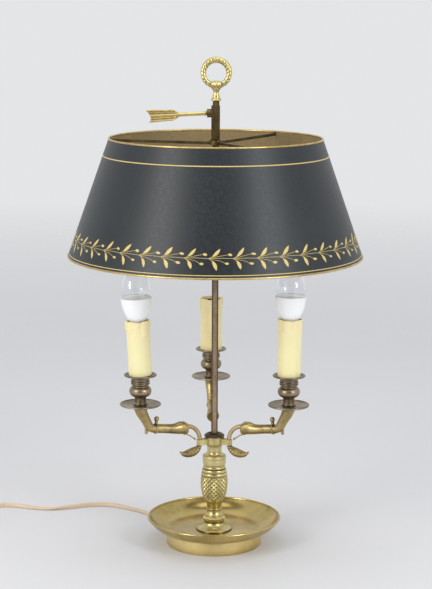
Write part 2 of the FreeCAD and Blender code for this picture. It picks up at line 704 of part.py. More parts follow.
def arm_horn():
    edges = horn_edges()
    length = sum(edge.Length for edge in edges)
    sections = []
    for share, radius in HORN_STATIONS:
        point, ahead = along(edges, share * length)
        sections.append(oval_wire(radius, radius, across(point, ahead)))
    horn = Part.makeLoft(sections, True, False)

    def band(share, section_r, out):
        point, ahead = along(edges, share * length)
        radius = radius_at(share) + out
        return Part.makeTorus(radius, section_r, point, ahead), point, ahead

    mouth_ring, _, _ = band(MOUTH_RING_AT, MOUTH_RING_R, 0)
    elbow_band, band_point, band_ahead = band(ELBOW_BAND_AT, ELBOW_BAND_R, 0)
    upright = unit(band_ahead.cross(Vector(0, 1, 0)))
    if upright.z < 0:
        upright = upright * -1
    knob_reach = radius_at(ELBOW_BAND_AT) + KNOB_LIFT
    knob = cylinder(KNOB_STEM_R, knob_reach, band_point, upright)
    knob = knob.fuse(Part.makeSphere(KNOB_R, band_point + upright * knob_reach))
    drop_end = flat_point(elbow_rho + DROP_OUT, elbow_z - DROP_FALL)
    drop = cylinder(DROP_R * 0.8, DROP_FALL + DROP_R, drop_end)
    drop = drop.fuse(Part.makeSphere(DROP_R, drop_end))
    mouth = flat_point(mouth_rho, mouth_z)
    tendril_points = [mouth + flat_point(rho, z) for rho, z in TENDRIL_LINE]
    tendril = swept(bent(tendril_points, TENDRIL_BEND), TENDRIL_R)
    tendril = tendril.fuse(Part.makeSphere(TENDRIL_BUD_R, tendril_points[-1]))
    bud_point, _ = along(edges, LIP_BUD_AT * length)
    bud = Part.makeSphere(LIP_BUD_R, bud_point + UP * (radius_at(LIP_BUD_AT) + LIP_BUD_R / 2))
    horn = horn.fuse([mouth_ring, elbow_band, knob, drop, bud, tendril])
    bore_start = mouth_rho + TUBE_IN_HORN
    bore = swept(horn_edges(bore_start - TUBE_WALL, tube_z), HORN_BORE_R)
    socket = cylinder(TUBE_R + THREAD_GAP, TUBE_IN_HORN + MOUTH_RING_R,
                      flat_point(mouth_rho - MOUTH_RING_R, tube_z), Vector(1, 0, 0))
    nipple_hole = cylinder(STEM_R + THREAD_GAP, NIPPLE_IN_RISER, flat_point(ARM_REACH, nipple_z))
    return horn.cut(bore).cut(socket).cut(nipple_hole)


def radius_at(share):
    """The horn's radius at a share of its length, straight between its stations."""
    for (low, low_r), (high, high_r) in zip(HORN_STATIONS, HORN_STATIONS[1:]):
        if share <= high:
            return low_r + (high_r - low_r) * (share - low) / (high - low)
    return HORN_STATIONS[-1][1]


def arm_leaf():
    root = flat_point(BRACKET_REACH - LEAF_ROOT, bracket_z)
    points = [root + flat_point(rho, z) for rho, z in LEAF_LINE]
    curve = Part.BSplineCurve()
    curve.interpolate(points)
    sections = []
    for point, half_w, half_t in zip(points, LEAF_HALF_WIDTHS, LEAF_HALF_THICKS):
        ahead = unit(Vector(*curve.tangent(curve.parameter(point))[0]))
        sections.append(oval_wire(half_w, half_t, across(point, ahead)))
    leaf = Part.makeLoft(sections, True, False)
    above = centred_box(0, 2 * BRACKET_REACH, BRACKET_REACH, bracket_z - THREAD_GAP, bracket_top_z)
    return leaf.cut(above)


def on_riser(shape):
    """Moves a piece turned about the Z axis to the riser of an arm along +X."""
    copy = shape.copy()
    copy.translate(Vector(ARM_REACH, 0, 0))
    return copy


def arm_nipple():
    return ring(STEM_R, nipple_bore_r, nipple_z, nipple_top_z - nipple_z)


def drip_pan():
    """Shallow spun pan: thick hub, thin floor and a rolled rim."""
    t = PAN_SHEET
    rim_r = PAN_R - PAN_BEAD_R
    floor = turned(riser_top_z, [
        (cup_bore_r, 0), (PAN_HUB_R, 0),
        ((PAN_R + PAN_HUB_R) / 2, PAN_RISE * 0.2, rim_r, PAN_RISE - t / 2), (rim_r, PAN_RISE + t / 2),
        ((PAN_R + PAN_HUB_R) / 2, t + PAN_RISE * 0.2, PAN_HUB_R + t, t), (PAN_HUB_R, PAN_HUB_THICK),
        (cup_bore_r, PAN_HUB_THICK)])
    bead = Part.makeTorus(rim_r, PAN_BEAD_R, Vector(0, 0, riser_top_z + PAN_RISE), UP)
    return floor.fuse(bead)


def candle_cup():
    knop_z = CUP_STEM_HEIGHT
    body_z = knop_z + KNOP_HEIGHT
    flare_z = body_z + CUP_HEIGHT
    top = flare_z + FLANGE_HEIGHT
    seat_r = SLEEVE_R + SLEEVE_SIDE_GAP
    bead = CUP_BEAD
    outline = [(cup_bore_r, 0), (CUP_FOOT_R, 0), (CUP_FOOT_R + bead, bead, CUP_FOOT_R, 2 * bead),
               (CUP_STEM_R, 3 * bead), (CUP_STEM_R, knop_z - 3 * bead),
               (CUP_STEM_R + bead, knop_z - bead, CUP_FOOT_R + bead, knop_z),
               (KNOP_R, knop_z + KNOP_HEIGHT * 0.45, CUP_R - bead, body_z),
               (CUP_R - bead, body_z + bead), (CUP_R, body_z + 3 * bead)]
    for k in range(2):
        low = body_z + 3 * bead + k * 3 * bead
        outline.append((CUP_R + bead, low + bead, CUP_R, low + 2 * bead))
        outline.append((CUP_R, low + 3 * bead))
    outline += [(CUP_R, flare_z),
                ((CUP_R + FLANGE_R) / 2, flare_z + FLANGE_HEIGHT * 0.2, FLANGE_R - 0.3, top - FLANGE_EDGE),
                (FLANGE_R, top - FLANGE_EDGE / 2, FLANGE_R - 0.6, top),
                (seat_r, top - SEAT_DEPTH / 2), (seat_r, top - SEAT_DEPTH), (cup_bore_r, top - SEAT_DEPTH)]
    return turned(cup_z, outline)


def candle_sleeve(lift):
    r = SLEEVE_R
    top_r = SLEEVE_TOP_R
    w = SLEEVE_WALL
    h = SLEEVE_HEIGHT + lift
    return turned(sleeve_z, [(r - w, 0), (r, 0), (top_r, h - w / 2), (top_r - w / 2, h, top_r - w, h - w / 2)])


def lamp_holder(lift):
    """Insulating candle holder: threaded foot, cone, and a barrel with a bore for the contacts."""
    top = holder_top_z - sleeve_z + lift
    bore_z = contact_z - TAB_THICK - sleeve_z + lift
    hollow = CONTACT_R + CONTACT_WALL + THREAD_GAP
    holder = turned(sleeve_z, [(0, 0), (HOLDER_FOOT_R, 0), (HOLDER_FOOT_R, HOLDER_FOOT_HEIGHT + lift),
                               (HOLDER_R, HOLDER_FOOT_HEIGHT + HOLDER_CONE_HEIGHT + lift),
                               (HOLDER_R, top - EDGE_ROUND), (HOLDER_R - EDGE_ROUND, top),
                               (hollow, top), (hollow, bore_z), (0, bore_z)])
    thread = cylinder(STEM_R + HOLDER_THREAD_GAP, NIPPLE_IN_HOLDER + EDGE_ROUND, Vector(0, 0, sleeve_z))
    way = cylinder(nipple_bore_r, contact_z + lift - sleeve_z, Vector(0, 0, sleeve_z))
    return holder.cut(thread).cut(way)


def holder_contacts(lift):
    """Threaded shell and centre tab of one lampholder."""
    low = contact_z + lift
    shell = ring(CONTACT_R + CONTACT_WALL, CONTACT_R, low, CONTACT_HEIGHT)
    tab_bore = nipple_bore_r * 0.4
    rim = CONTACT_R - 1.0
    tab = turned(low - TAB_THICK, [(tab_bore, 0), (rim, 0), (rim, TAB_THICK / 2), (TAB_R, TAB_THICK),
                                   (tab_bore, TAB_THICK)])
    return Part.makeCompound([shell, tab])


def bulb_cap(lift):
    """Screw cap with its centre contact."""
    tab_z = contact_z + lift
    top = holder_top_z + EDGE_ROUND + lift
    tip_z = top - SCREW_HEIGHT
    return turned(0, [(0, tab_z), (SCREW_TIP_R * 0.6, tab_z), (SCREW_TIP_R, tab_z + EDGE_ROUND),
                      (SCREW_TIP_R, tip_z - EDGE_ROUND), (SCREW_R, tip_z + EDGE_ROUND),
                      (SCREW_R, top), (0, top)])


def bulb_body(lift):
    """White bowl between the screw cap and the clear globe."""
    low = holder_top_z + EDGE_ROUND + BULB_JOINT_GAP + lift
    h = BULB_COLLAR_HEIGHT
    neck = BULB_NECK_HEIGHT
    return turned(low, [(0, 0), (BULB_NECK_R, 0), (BULB_NECK_R, neck),
                        ((BULB_NECK_R + BULB_COLLAR_R) / 2 + BULB_COLLAR_FULLNESS, (neck + h) / 2,
                         BULB_COLLAR_R, h), (0, h)])


def dome(low, base_r, height, top_r):
    """A dome whose side leaves its base upright and runs into a round top without a corner."""
    rise = height - top_r
    narrow = base_r - top_r
    back = (rise * rise - narrow * narrow) / (2 * narrow)
    side_r = base_r + back
    lean = math.atan2(rise, back)
    half = lean / 2
    top = (lean + math.pi / 2) / 2
    return turned(low, [(0, 0), (base_r, 0),
                        (side_r * math.cos(half) - back, side_r * math.sin(half),
                         top_r * math.cos(lean), rise + top_r * math.sin(lean)),
                        (top_r * math.cos(top), rise + top_r * math.sin(top), 0, height)])


def bulb_globe(lift):
    low = holder_top_z + EDGE_ROUND + 2 * BULB_JOINT_GAP + BULB_COLLAR_HEIGHT + lift
    outer = dome(low, BULB_GLOBE_R, BULB_GLOBE_HEIGHT, BULB_TOP_R)
    g = BULB_GLASS
    return outer.cut(dome(low, BULB_GLOBE_R - g, BULB_GLOBE_HEIGHT - g, BULB_TOP_R - g))


def on_cup(make, side):
    """A piece that stands in an arm's cup: raised, leaning outwards and turned to the arm's azimuth."""
    shape = on_riser(make(CANDLE_LIFTS[side]))
    lean = CANDLE_LEANS[side]
    shape.rotate(flat_point(ARM_REACH, sleeve_z), Vector(0, 1, 0), lean)
    shape.translate(UP * (SLEEVE_R * math.sin(math.radians(lean))))
    return to_arm(shape, ARM_AZIMUTHS[side])


# Shade and its clamp
def shade_slope():
    """Unit vector up along the cone's wall, and its outward normal, as (r, z)."""
    run = SHADE_TOP_R - SHADE_BOTTOM_R
    length = math.hypot(run, SHADE_HEIGHT)
    return (run / length, SHADE_HEIGHT / length), (SHADE_HEIGHT / length, -run / length)


def shade_wall_r(z, offset):
    """Radius of the cone's middle surface at a height, moved out by an offset along the radius."""
    share = (shade_top_z - z) / SHADE_HEIGHT
    return SHADE_TOP_R + (SHADE_BOTTOM_R - SHADE_TOP_R) * share + offset


def shade_shell():
    (up_r, up_z), (out_r, out_z) = shade_slope()
    stop = SHADE_WIRE_R + THREAD_GAP
    half = SHADE_SHEET / 2
    low_r = SHADE_BOTTOM_R + up_r * stop
    low_z = shade_bottom_z + up_z * stop
    top_r = SHADE_TOP_R - up_r * stop
    top_z = shade_top_z - up_z * stop
    side_r = out_r * half
    side_z = out_z * half
    return turned(0, [(low_r + side_r, low_z + side_z), (top_r + side_r, top_z + side_z),
                      (top_r - side_r, top_z - side_z), (low_r - side_r, low_z - side_z)])


def shade_rim_wires():
    top = Part.makeTorus(SHADE_TOP_R, SHADE_WIRE_R, Vector(0, 0, shade_top_z), UP)
    bottom = Part.makeTorus(SHADE_BOTTOM_R, SHADE_WIRE_R, Vector(0, 0, shade_bottom_z), UP)
    return Part.makeCompound([top, bottom])


def shade_spider():
    """Three bars that rise from a square-holed hub under the sleeve to the shade's wall."""
    top = slider_z
    bottom = top - SPIDER_BAR_HEIGHT
    hub = cylinder(SPIDER_HUB_R, SPIDER_BAR_HEIGHT, Vector(0, 0, bottom))
    half = SPIDER_BAR_WIDTH / 2
    reach = SHADE_TOP_R * 1.1
    bars = []
    for azimuth in SPIDER_AZIMUTHS:
        side = [flat_point(0, bottom), flat_point(reach, bottom + SPIDER_BAR_RISE),
                flat_point(reach, top + SPIDER_BAR_RISE), flat_point(0, top), flat_point(0, bottom)]
        bar = Part.Face(Part.makePolygon(side)).extrude(Vector(0, SPIDER_BAR_WIDTH, 0))
        bar.translate(Vector(0, -half, 0))
        bars.append(to_arm(bar, azimuth))
    spider = hub.fuse(bars)
    inside = -SHADE_SHEET - THREAD_GAP
    low_z, high_z = bottom - SPIDER_BAR_HEIGHT, shade_top_z
    room = turned(0, [(0, low_z), (shade_wall_r(low_z, inside), low_z),
                      (shade_wall_r(high_z, inside), high_z), (0, high_z)])
    spider = spider.common(room)
    flange_room = cylinder(SPIDER_HUB_R + THREAD_GAP, SLEEVE_FLANGE_THICK + RIVET_R, Vector(0, 0, top))
    hole = centred_box(-slider_left_x, slider_right_x, slider_half_y, bottom, top)
    return spider.cut(flange_room).cut(hole)


def shade_sleeve():
    """Square sleeve that slides on the rod: flange at its foot, and a threaded boss for the arrow."""
    wall = SLEEVE_TUBE_WALL
    tube = centred_box(-slider_left_x - wall, slider_right_x + wall, slider_half_y + wall,
                       slider_z, slider_top_z)
    flange = cylinder(SPIDER_HUB_R, SLEEVE_FLANGE_THICK, Vector(0, 0, slider_z))
    rivets = []
    for azimuth in SPIDER_AZIMUTHS:
        head = Part.makeSphere(RIVET_R, Vector(RIVET_CIRCLE_R, 0, slider_z + SLEEVE_FLANGE_THICK))
        rivets.append(to_arm(head, azimuth))
    rivet_room = cylinder(SPIDER_HUB_R + RIVET_R, 2 * RIVET_R, Vector(0, 0, slider_z))
    heads = Part.makeCompound(rivets).common(rivet_room)
    boss = on_arrow_axis(cylinder(BOSS_R, BOSS_LENGTH + 2 * wall, Vector(-2 * wall, 0, 0), Vector(1, 0, 0)))
    sleeve = tube.fuse(flange).fuse(boss).fuse(heads)
    sleeve = sleeve.cut(centred_box(-slider_left_x, slider_right_x, slider_half_y, slider_z, slider_top_z))
    bore = cylinder(SCREW_SHAFT_R + SCREW_RUN_GAP, 3 * BOSS_LENGTH, Vector(-BOSS_LENGTH, 0, 0), Vector(1, 0, 0))
    bore = on_arrow_axis(bore)
    left_half = Part.makeBox(3 * BOSS_LENGTH, 2 * BOSS_R, 4 * BOSS_R,
                             Vector(-3 * BOSS_LENGTH, -BOSS_R, arrow_z - 2 * BOSS_R))
    return sleeve.cut(bore.common(left_half))


def on_arrow_axis(shape):
    """Places a shape modelled along +X so that +X runs out of the sleeve's left face, drooping a little."""
    copy = shape.copy()
    copy.rotate(ORIGIN, Vector(0, 1, 0), ARROW_DROOP)
    copy.rotate(ORIGIN, UP, 180)
    copy.translate(Vector(-slider_left_face, 0, arrow_z))
    return copy


def clamp_shoe():
    """Thin brass shoe between the rod and the screw, with a stud that keeps it in the sleeve's bore."""
    low = slider_top_z - SHOE_BELOW_TOP - SHOE_HEIGHT
    half = ROD_SIDE / 2 - ROD_CHAMFER
    plate = centred_box(-shoe_x - SHOE_THICK, -shoe_x, half, low, low + SHOE_HEIGHT)
    outer_end = -SLEEVE_TUBE_WALL / 2
    stud = cylinder(SHOE_STUD_R, SHOE_TRAVEL + SHOE_THICK, Vector(outer_end, 0, 0), Vector(-1, 0, 0))
    return plate.fuse(on_arrow_axis(stud))


def arrow_screw():
    """Thumbscrew shaped as an arrow's shaft and vanes. Its tip presses on the shoe's stud."""
    tip = SLEEVE_TUBE_WALL / 2 - SHOE_GAP
    shaft = cylinder(SCREW_SHAFT_R, tip + BOSS_LENGTH + SHAFT_LENGTH, Vector(-tip, 0, 0), Vector(1, 0, 0))
    shaft = shaft.cut(cylinder(2 * SCREW_SHAFT_R, tip / 2, Vector(-tip, 0, 0), Vector(1, 0, 0)).cut(
        Part.makeCone(SHOE_STUD_R * 0.7, SCREW_SHAFT_R, tip / 2, Vector(-tip, 0, 0), Vector(1, 0, 0))))
    root = BOSS_LENGTH + SHAFT_LENGTH
    high = VANE_HALF_HEIGHT
    end = root + VANE_LENGTH
    neck = SCREW_SHAFT_R
    half = VANE_THICK / 2
    outline = [Vector(root - 2, -half, neck * 0.6), Vector(root + VANE_SHOULDER, -half, high),
               Vector(end, -half, high), Vector(end - VANE_NOTCH, -half, 0), Vector(end, -half, -high),
               Vector(root + VANE_SHOULDER, -half, -high), Vector(root - 2, -half, -neck * 0.6)]
    vane = Part.Face(Part.makePolygon(outline + outline[:1])).extrude(Vector(0, VANE_THICK, 0))
    ribs = []
    for share, back in ((0, VANE_NOTCH), (0.86, 0.8), (-0.86, 0.8)):
        start = Vector(root + VANE_SHOULDER * abs(share), 0, high * share)
        rib = cylinder(half + VANE_RIB_R, end - back - start.x - VANE_RIB_R, start, Vector(1, 0, 0))
        ribs.append(rib.common(Part.makeBox(2 * end, 2 * (half + VANE_RIB_R), 2 * VANE_RIB_R,
                                            Vector(0, -half - VANE_RIB_R, high * share - VANE_RIB_R))))
    return on_arrow_axis(shaft.fuse(vane).fuse(ribs))


# Leads inside the lamp
def inner_wiring():
    supply = bent([flat_point(relief_root() - SEAT_GAP, EXIT_Z), flat_point(POCKET_R, SUPPLY_Z),
                   flat_point(0, SUPPLY_Z), flat_point(0, stem_top_z)], LEAD_BEND)
    solids = [to_arm(swept(supply, SUPPLY_R), EXIT_AZIMUTH)]
    path = lead_path()
    radii = {1: LEAD_R * 1.5, 2: LEAD_R * 1.5, 3: TUBE_BEND_R, 4: TUBE_BEND_R, 5: ELBOW_R, 6: RISER_KNEE_R}
    bends = {id(path[index]): radius for index, radius in radii.items()}
    edges = pipe_edges(path, lambda before, corner, after, half: bends[id(corner)] / math.tan(half))[0]
    branch = swept(edges, LEAD_R)
    for azimuth in ARM_AZIMUTHS.values():
        solids.append(to_arm(branch, azimuth))
    return Part.makeCompound(solids)


# Flex, switch, coil and plug
def route_radius(before, corner, after, half):
    return TANGENT_SHARE * min((corner - before).Length, (after - corner).Length)


def flex_points():
    start = exit_direction() * relief_root() + UP * EXIT_Z
    return [start] + [Vector(*point) for point in FLEX_ROUTE]


def switch_heading():
    points = flex_points()
    ahead = points[-1] - points[-2]
    return unit(Vector(ahead.x, ahead.y, 0))


def switch_centre():
    return flex_points()[-1] + switch_heading() * (SWITCH_LENGTH / 2 - FLEX_IN_SWITCH)


def flex_tube(name, points):
    edges, radii = pipe_edges(points, route_radius)
    tube = swept(edges, FLEX_WIDTH / 2)
    length = sum(edge.Length for edge in edges)
    section = math.pi * FLEX_WIDTH ** 2 / 4
    print(name, "length", round(length, 1), "volume ratio", round(tube.Volume / (section * length), 4),
          "radii", [round(radius, 1) for radius in radii])
    return tube


def flex_to_coil_points():
    start = switch_centre() + switch_heading() * (SWITCH_LENGTH / 2 - FLEX_IN_SWITCH)
    corner = start + switch_heading() * FLEX_LEAD_OUT
    side = COIL_X + COIL_MIDDLE_R
    return [start, corner, Vector(side, (corner.y + coil_edge_y()) / 2 - SEAT_GAP, FLEX_Z),
            Vector(side - 0.4, coil_edge_y(), FLEX_Z)]


def coil_edge_y():
    """Where the flex meets the coil's outer side, a seat gap short of it."""
    outer = COIL_MIDDLE_R + COIL_WIDTH / 2
    inner_side = COIL_MIDDLE_R - FLEX_WIDTH / 2
    return COIL_Y + math.sqrt(outer ** 2 - inner_side ** 2) + SEAT_GAP


def at_switch(shape):
    """Places a shape modelled along +X with its middle at the origin on the table under the switch."""
    heading = switch_heading()
    copy = shape.copy()
    copy.rotate(ORIGIN, UP, math.degrees(math.atan2(heading.y, heading.x)))
    centre = switch_centre()
    copy.translate(Vector(centre.x, centre.y, 0))
    return copy


def rounded_block(length, width, z0, z1, corner_r, edge_r, top):
    block = Part.makeBox(length, width, z1 - z0, Vector(-length / 2, -width / 2, z0))
    upright = [edge for edge in block.Edges if abs(edge.tangentAt(edge.FirstParameter).z) > 0.9]
    block = block.makeFillet(corner_r, upright)
    level = z1 if top else z0
    rim = [edge for edge in block.Edges if all(abs(v.Z - level) < edge_r / 10 for v in edge.Vertexes)]
    return block.makeFillet(edge_r, rim)


def switch_half(z0, z1, top):
    """One half of the housing: a thin-walled tray with a half nose at each end for the flex."""
    body = SWITCH_LENGTH - 2 * SWITCH_NOSE_LENGTH
    shell = rounded_block(body, SWITCH_WIDTH, z0, z1, SWITCH_CORNER_R, SWITCH_EDGE_R, top)
    nose = Part.makeCylinder(SWITCH_NOSE_R, SWITCH_LENGTH, Vector(-SWITCH_LENGTH / 2, 0, SWITCH_AXIS_Z),
                             Vector(1, 0, 0))
    layer = Part.makeBox(2 * SWITCH_LENGTH, SWITCH_WIDTH, z1 - z0,
                         Vector(-SWITCH_LENGTH, -SWITCH_WIDTH / 2, z0))
    shell = shell.fuse(nose.common(layer))
    w = SWITCH_WALL
    hollow = Part.makeBox(body - 2 * w, SWITCH_WIDTH - 2 * w, SWITCH_HEIGHT - 2 * w,
                          Vector(w - body / 2, w - SWITCH_WIDTH / 2, w))
    bore = Part.makeCylinder(FLEX_WIDTH / 2 + FLEX_GAP, SWITCH_LENGTH,
                             Vector(-SWITCH_LENGTH / 2, 0, SWITCH_AXIS_Z), Vector(1, 0, 0))
    return shell.cut(hollow).cut(bore)


def switch_split_z():
    return SWITCH_HEIGHT / 2


def switch_base():
    return at_switch(switch_half(0, switch_split_z(), False))


def switch_cover():
    cover = switch_half(switch_split_z(), SWITCH_HEIGHT, True)
    length = ROCKER_LENGTH + 2 * ROCKER_GAP
    width = ROCKER_WIDTH + 2 * ROCKER_GAP
    window = Part.makeBox(length, width, SWITCH_HEIGHT, Vector(-length / 2, -width / 2, switch_split_z()))
    ear = Part.makeBox(6 * ROCKER_PIN_R, SWITCH_WIDTH - 2 * SWITCH_WALL, 4 * ROCKER_PIN_R,
                       Vector(-3 * ROCKER_PIN_R, SWITCH_WALL - SWITCH_WIDTH / 2,
                              SWITCH_HEIGHT - SWITCH_WALL - 4 * ROCKER_PIN_R))
    hinge = Part.makeCylinder(ROCKER_PIN_R + FLEX_GAP, ROCKER_WIDTH + 2 * ROCKER_PIN_LENGTH + 2 * ROCKER_GAP,
                              Vector(0, -ROCKER_WIDTH / 2 - ROCKER_PIN_LENGTH - ROCKER_GAP, rocker_axis_z()),
                              Vector(0, 1, 0))
    return at_switch(cover.fuse(ear).cut(window).cut(hinge))


def rocker_axis_z():
    return SWITCH_HEIGHT - SWITCH_WALL - 2 * ROCKER_PIN_R


def switch_rocker():
    """Rocker with a bent top, at rest in its off place."""
    half = ROCKER_LENGTH / 2 - ROCKER_GAP
    axis_z = rocker_axis_z()
    top = SWITCH_HEIGHT + ROCKER_PROUD - axis_z
    low_top = top - half * math.tan(math.radians(ROCKER_TILT)) + 0.6
    side = [Vector(-half, 0, low_top), Vector(0, 0, top - 1.4), Vector(half, 0, low_top),
            Vector(half * 0.75, 0, -ROCKER_DEPTH / 2), Vector(-half * 0.75, 0, -ROCKER_DEPTH / 2)]
    rocker = Part.Face(Part.makePolygon(side + side[:1])).extrude(Vector(0, ROCKER_WIDTH, 0))
    rocker.translate(Vector(0, -ROCKER_WIDTH / 2, 0))
    long = ROCKER_WIDTH + 2 * ROCKER_PIN_LENGTH
    pin = Part.makeCylinder(ROCKER_PIN_R, long, Vector(0, -long / 2, 0), Vector(0, 1, 0))
    rocker = rocker.fuse(pin)
    rocker.rotate(ORIGIN, Vector(0, 1, 0), ROCKER_TILT)
    rocker.translate(Vector(0, 0, axis_z))
    return at_switch(rocker)


def flex_coil():
    half = COIL_WIDTH / 2
    block = [(COIL_MIDDLE_R - half, 0), (COIL_MIDDLE_R + half, 0), (COIL_MIDDLE_R + half, COIL_HEIGHT),
             (COIL_MIDDLE_R - half, COIL_HEIGHT)]
    coil = turned(0, block)
    rims = [edge for edge in coil.Edges if edge.Length > 2 * half]
    coil = coil.makeFillet(COIL_ROUND, [edge for edge in rims if not abs(edge.BoundBox.ZLength) > half / 10])
    coil.translate(Vector(COIL_X, COIL_Y, 0))
    return coil


def plug_tail_y():
    return COIL_Y + PLUG_FROM_COIL


def plug_axis_z():
    return PLUG_BODY_HEIGHT / 2


def plug_body():
    """Flat two-pin plug body with a tapered tail, lying on the table and pointing to +Y."""
    z = plug_axis_z()
    face_y = plug_tail_y() + PLUG_TAIL_LENGTH
    front = PLUG_BODY_WIDTH / 2
    back = PLUG_BACK_WIDTH / 2
    end_y = face_y + PLUG_BODY_LENGTH
    outline = [Vector(-back, face_y, 0), Vector(back, face_y, 0), Vector(front, face_y + front, 0),
               Vector(front, end_y, 0), Vector(-front, end_y, 0), Vector(-front, face_y + front, 0)]
    body = Part.Face(Part.makePolygon(outline + outline[:1])).extrude(UP * PLUG_BODY_HEIGHT)
    rounded = [edge for edge in body.Edges
               if not all(abs(v.Y - end_y) < PLUG_EDGE_R / 10 for v in edge.Vertexes)]
    body = body.makeFillet(PLUG_EDGE_R, rounded)
    tail = Part.makeCone(FLEX_WIDTH / 2 + 0.6, PLUG_TAIL_R + 0.8, PLUG_TAIL_LENGTH + PLUG_EDGE_R,
                         Vector(0, plug_tail_y(), z), Vector(0, 1, 0))
    body = body.fuse(tail)
    for pin in plug_pin_shapes():
        body = body.cut(pin)
    body.translate(Vector(PLUG_X, 0, 0))
    return body


def plug_pin_shapes():
    root = plug_tail_y() + PLUG_TAIL_LENGTH + PLUG_BODY_LENGTH - PIN_ROOT
    pins = []
    for side in (-1, 1):
        base = Vector(side * PIN_SPACING / 2, root, plug_axis_z())
        shank = Part.makeCylinder(PIN_ROOT_R, PIN_ROOT, base, Vector(0, 1, 0))
        pin = Part.makeCylinder(PIN_R, PIN_LENGTH, base + Vector(0, PIN_ROOT, 0), Vector(0, 1, 0))
        tip = [edge for edge in pin.Edges if abs(edge.BoundBox.YMax - root - PIN_ROOT - PIN_LENGTH) < 0.01
               and edge.BoundBox.YLength < 0.01]
        pins.append(pin.makeFillet(PIN_R / 2, tip).fuse(shank))
    return pins


def plug_pins():
    pins = Part.makeCompound(plug_pin_shapes())
    pins.translate(Vector(PLUG_X, 0, 0))
    return pins


def all_pieces():
    pieces = {
        "base_dish": base_dish(), "foot_ring": foot_ring(), "ballast_weight": ballast_weight(),
        "base_felt": base_felt(), "cord_relief": cord_relief(),
        "stem_tube": stem_tube(), "stem_nut": stem_nut(), "column_bell": column_bell(),
        "milled_ring": milled_ring(), "column_waist": column_waist(), "pineapple_body": pineapple_body(),
        "column_collar": column_collar(), "arm_hub": arm_hub(), "rod_cap": rod_cap(),
        "main_rod": main_rod(), "finial": finial(),
        "shade_shell": shade_shell(), "shade_rim_wires": shade_rim_wires(), "shade_spider": shade_spider(),
        "shade_sleeve": shade_sleeve(), "clamp_shoe": clamp_shoe(), "arrow_screw": arrow_screw(),
        "inner_wiring": inner_wiring(),
        "flex_to_switch": flex_tube("flex_to_switch", flex_points()),
        "flex_to_coil": flex_tube("flex_to_coil", flex_to_coil_points()),
        "flex_coil": flex_coil(), "switch_base": switch_base(), "switch_cover": switch_cover(),
        "switch_rocker": switch_rocker(), "plug_body": plug_body(), "plug_pins": plug_pins(),
    }
    arm = {
        "arm_horn": arm_horn(), "arm_tube": arm_tube(), "arm_leaf": arm_leaf(),
        "drip_pan": on_riser(drip_pan()), "candle_cup": on_riser(candle_cup()),
    }
    candle = {"lamp_holder": lamp_holder, "candle_sleeve": candle_sleeve}
    bulb = {"bulb_cap": bulb_cap, "bulb_body": bulb_body, "bulb_globe": bulb_globe}
    for side, azimuth in ARM_AZIMUTHS.items():
        for name, shape in arm.items():
            pieces[name + "_" + side] = to_arm(shape, azimuth)
        for name, make in candle.items():
            pieces[name + "_" + side] = on_cup(make, side)
    for side in BULB_ARMS:
        for name, make in bulb.items():
            pieces[name + "_" + side] = on_cup(make, side)
    nipple = on_riser(arm_nipple())
    pieces["arm_nipples"] = Part.makeCompound([to_arm(nipple, azimuth) for azimuth in ARM_AZIMUTHS.values()])
    pieces["holder_contacts"] = Part.makeCompound([on_cup(holder_contacts, side) for side in ARM_AZIMUTHS])
    return pieces


os.makedirs("parts", exist_ok=True)
for node, piece in all_pieces().items():
    piece.exportStep("parts/" + node + ".step")
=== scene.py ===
import math
import random

import bmesh
import bpy
from mathutils import Matrix, Vector


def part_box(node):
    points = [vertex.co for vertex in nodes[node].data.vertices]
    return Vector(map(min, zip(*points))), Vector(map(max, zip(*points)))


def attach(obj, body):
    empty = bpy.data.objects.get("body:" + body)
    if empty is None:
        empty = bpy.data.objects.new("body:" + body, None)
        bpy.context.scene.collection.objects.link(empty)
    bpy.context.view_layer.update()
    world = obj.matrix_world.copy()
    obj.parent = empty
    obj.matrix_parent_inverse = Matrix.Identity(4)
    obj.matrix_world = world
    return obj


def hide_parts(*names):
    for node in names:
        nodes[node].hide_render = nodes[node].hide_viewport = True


# Looks of a three-light bouillotte lamp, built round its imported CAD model.
# Sizes are in millimetres in the lamp's own frame, and MM turns them into metres.

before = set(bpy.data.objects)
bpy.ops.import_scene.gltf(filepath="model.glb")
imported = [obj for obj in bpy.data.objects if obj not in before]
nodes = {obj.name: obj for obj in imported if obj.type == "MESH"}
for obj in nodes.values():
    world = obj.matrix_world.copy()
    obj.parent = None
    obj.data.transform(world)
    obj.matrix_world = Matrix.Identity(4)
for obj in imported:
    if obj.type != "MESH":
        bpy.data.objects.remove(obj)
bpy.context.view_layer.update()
chance = random.Random(7)

MM = 0.001
TAU = 2 * math.pi
# Each arm's azimuth in degrees, and how far from the middle its candle stands
ARMS = {"left": 210.0, "right": 330.0, "back": 92.7}
ARM_REACH = 95.6
# Where the candle sleeves stand, how tall they are and how much is added to each one's height
SLEEVE_Z = 208.2
SLEEVE_HEIGHT = 62.0
SLEEVE_EXTRA = {"left": 0.0, "right": 2.4, "back": 0.0}
# How far each candle leans outwards, in degrees, and the radius of the low edge that it leans on
CANDLE_LEANS = {"left": 3.2, "right": 0.6, "back": 0.0}
STAND_ON = 13.1
# Corners sharper than this are eased, by at most this share of the runs on either side
CORNER = math.radians(20)
EASE_SHARE = 0.4
EASE_STEPS = (0, 0.33, 0.67, 1)
NO_LENGTH = 1e-6
NO_AREA = 1e-9


# Mesh building
def around(steps):
    """Angles spaced evenly round a circle."""
    return [TAU * k / steps for k in range(steps)]


def polar(r, angle, z):
    return Vector((r * math.cos(angle), r * math.sin(angle), z))


def placed(name, data):
    """A new object in the scene that holds this data."""
    made = bpy.data.objects.new(name, data)
    bpy.context.scene.collection.objects.link(made)
    return made


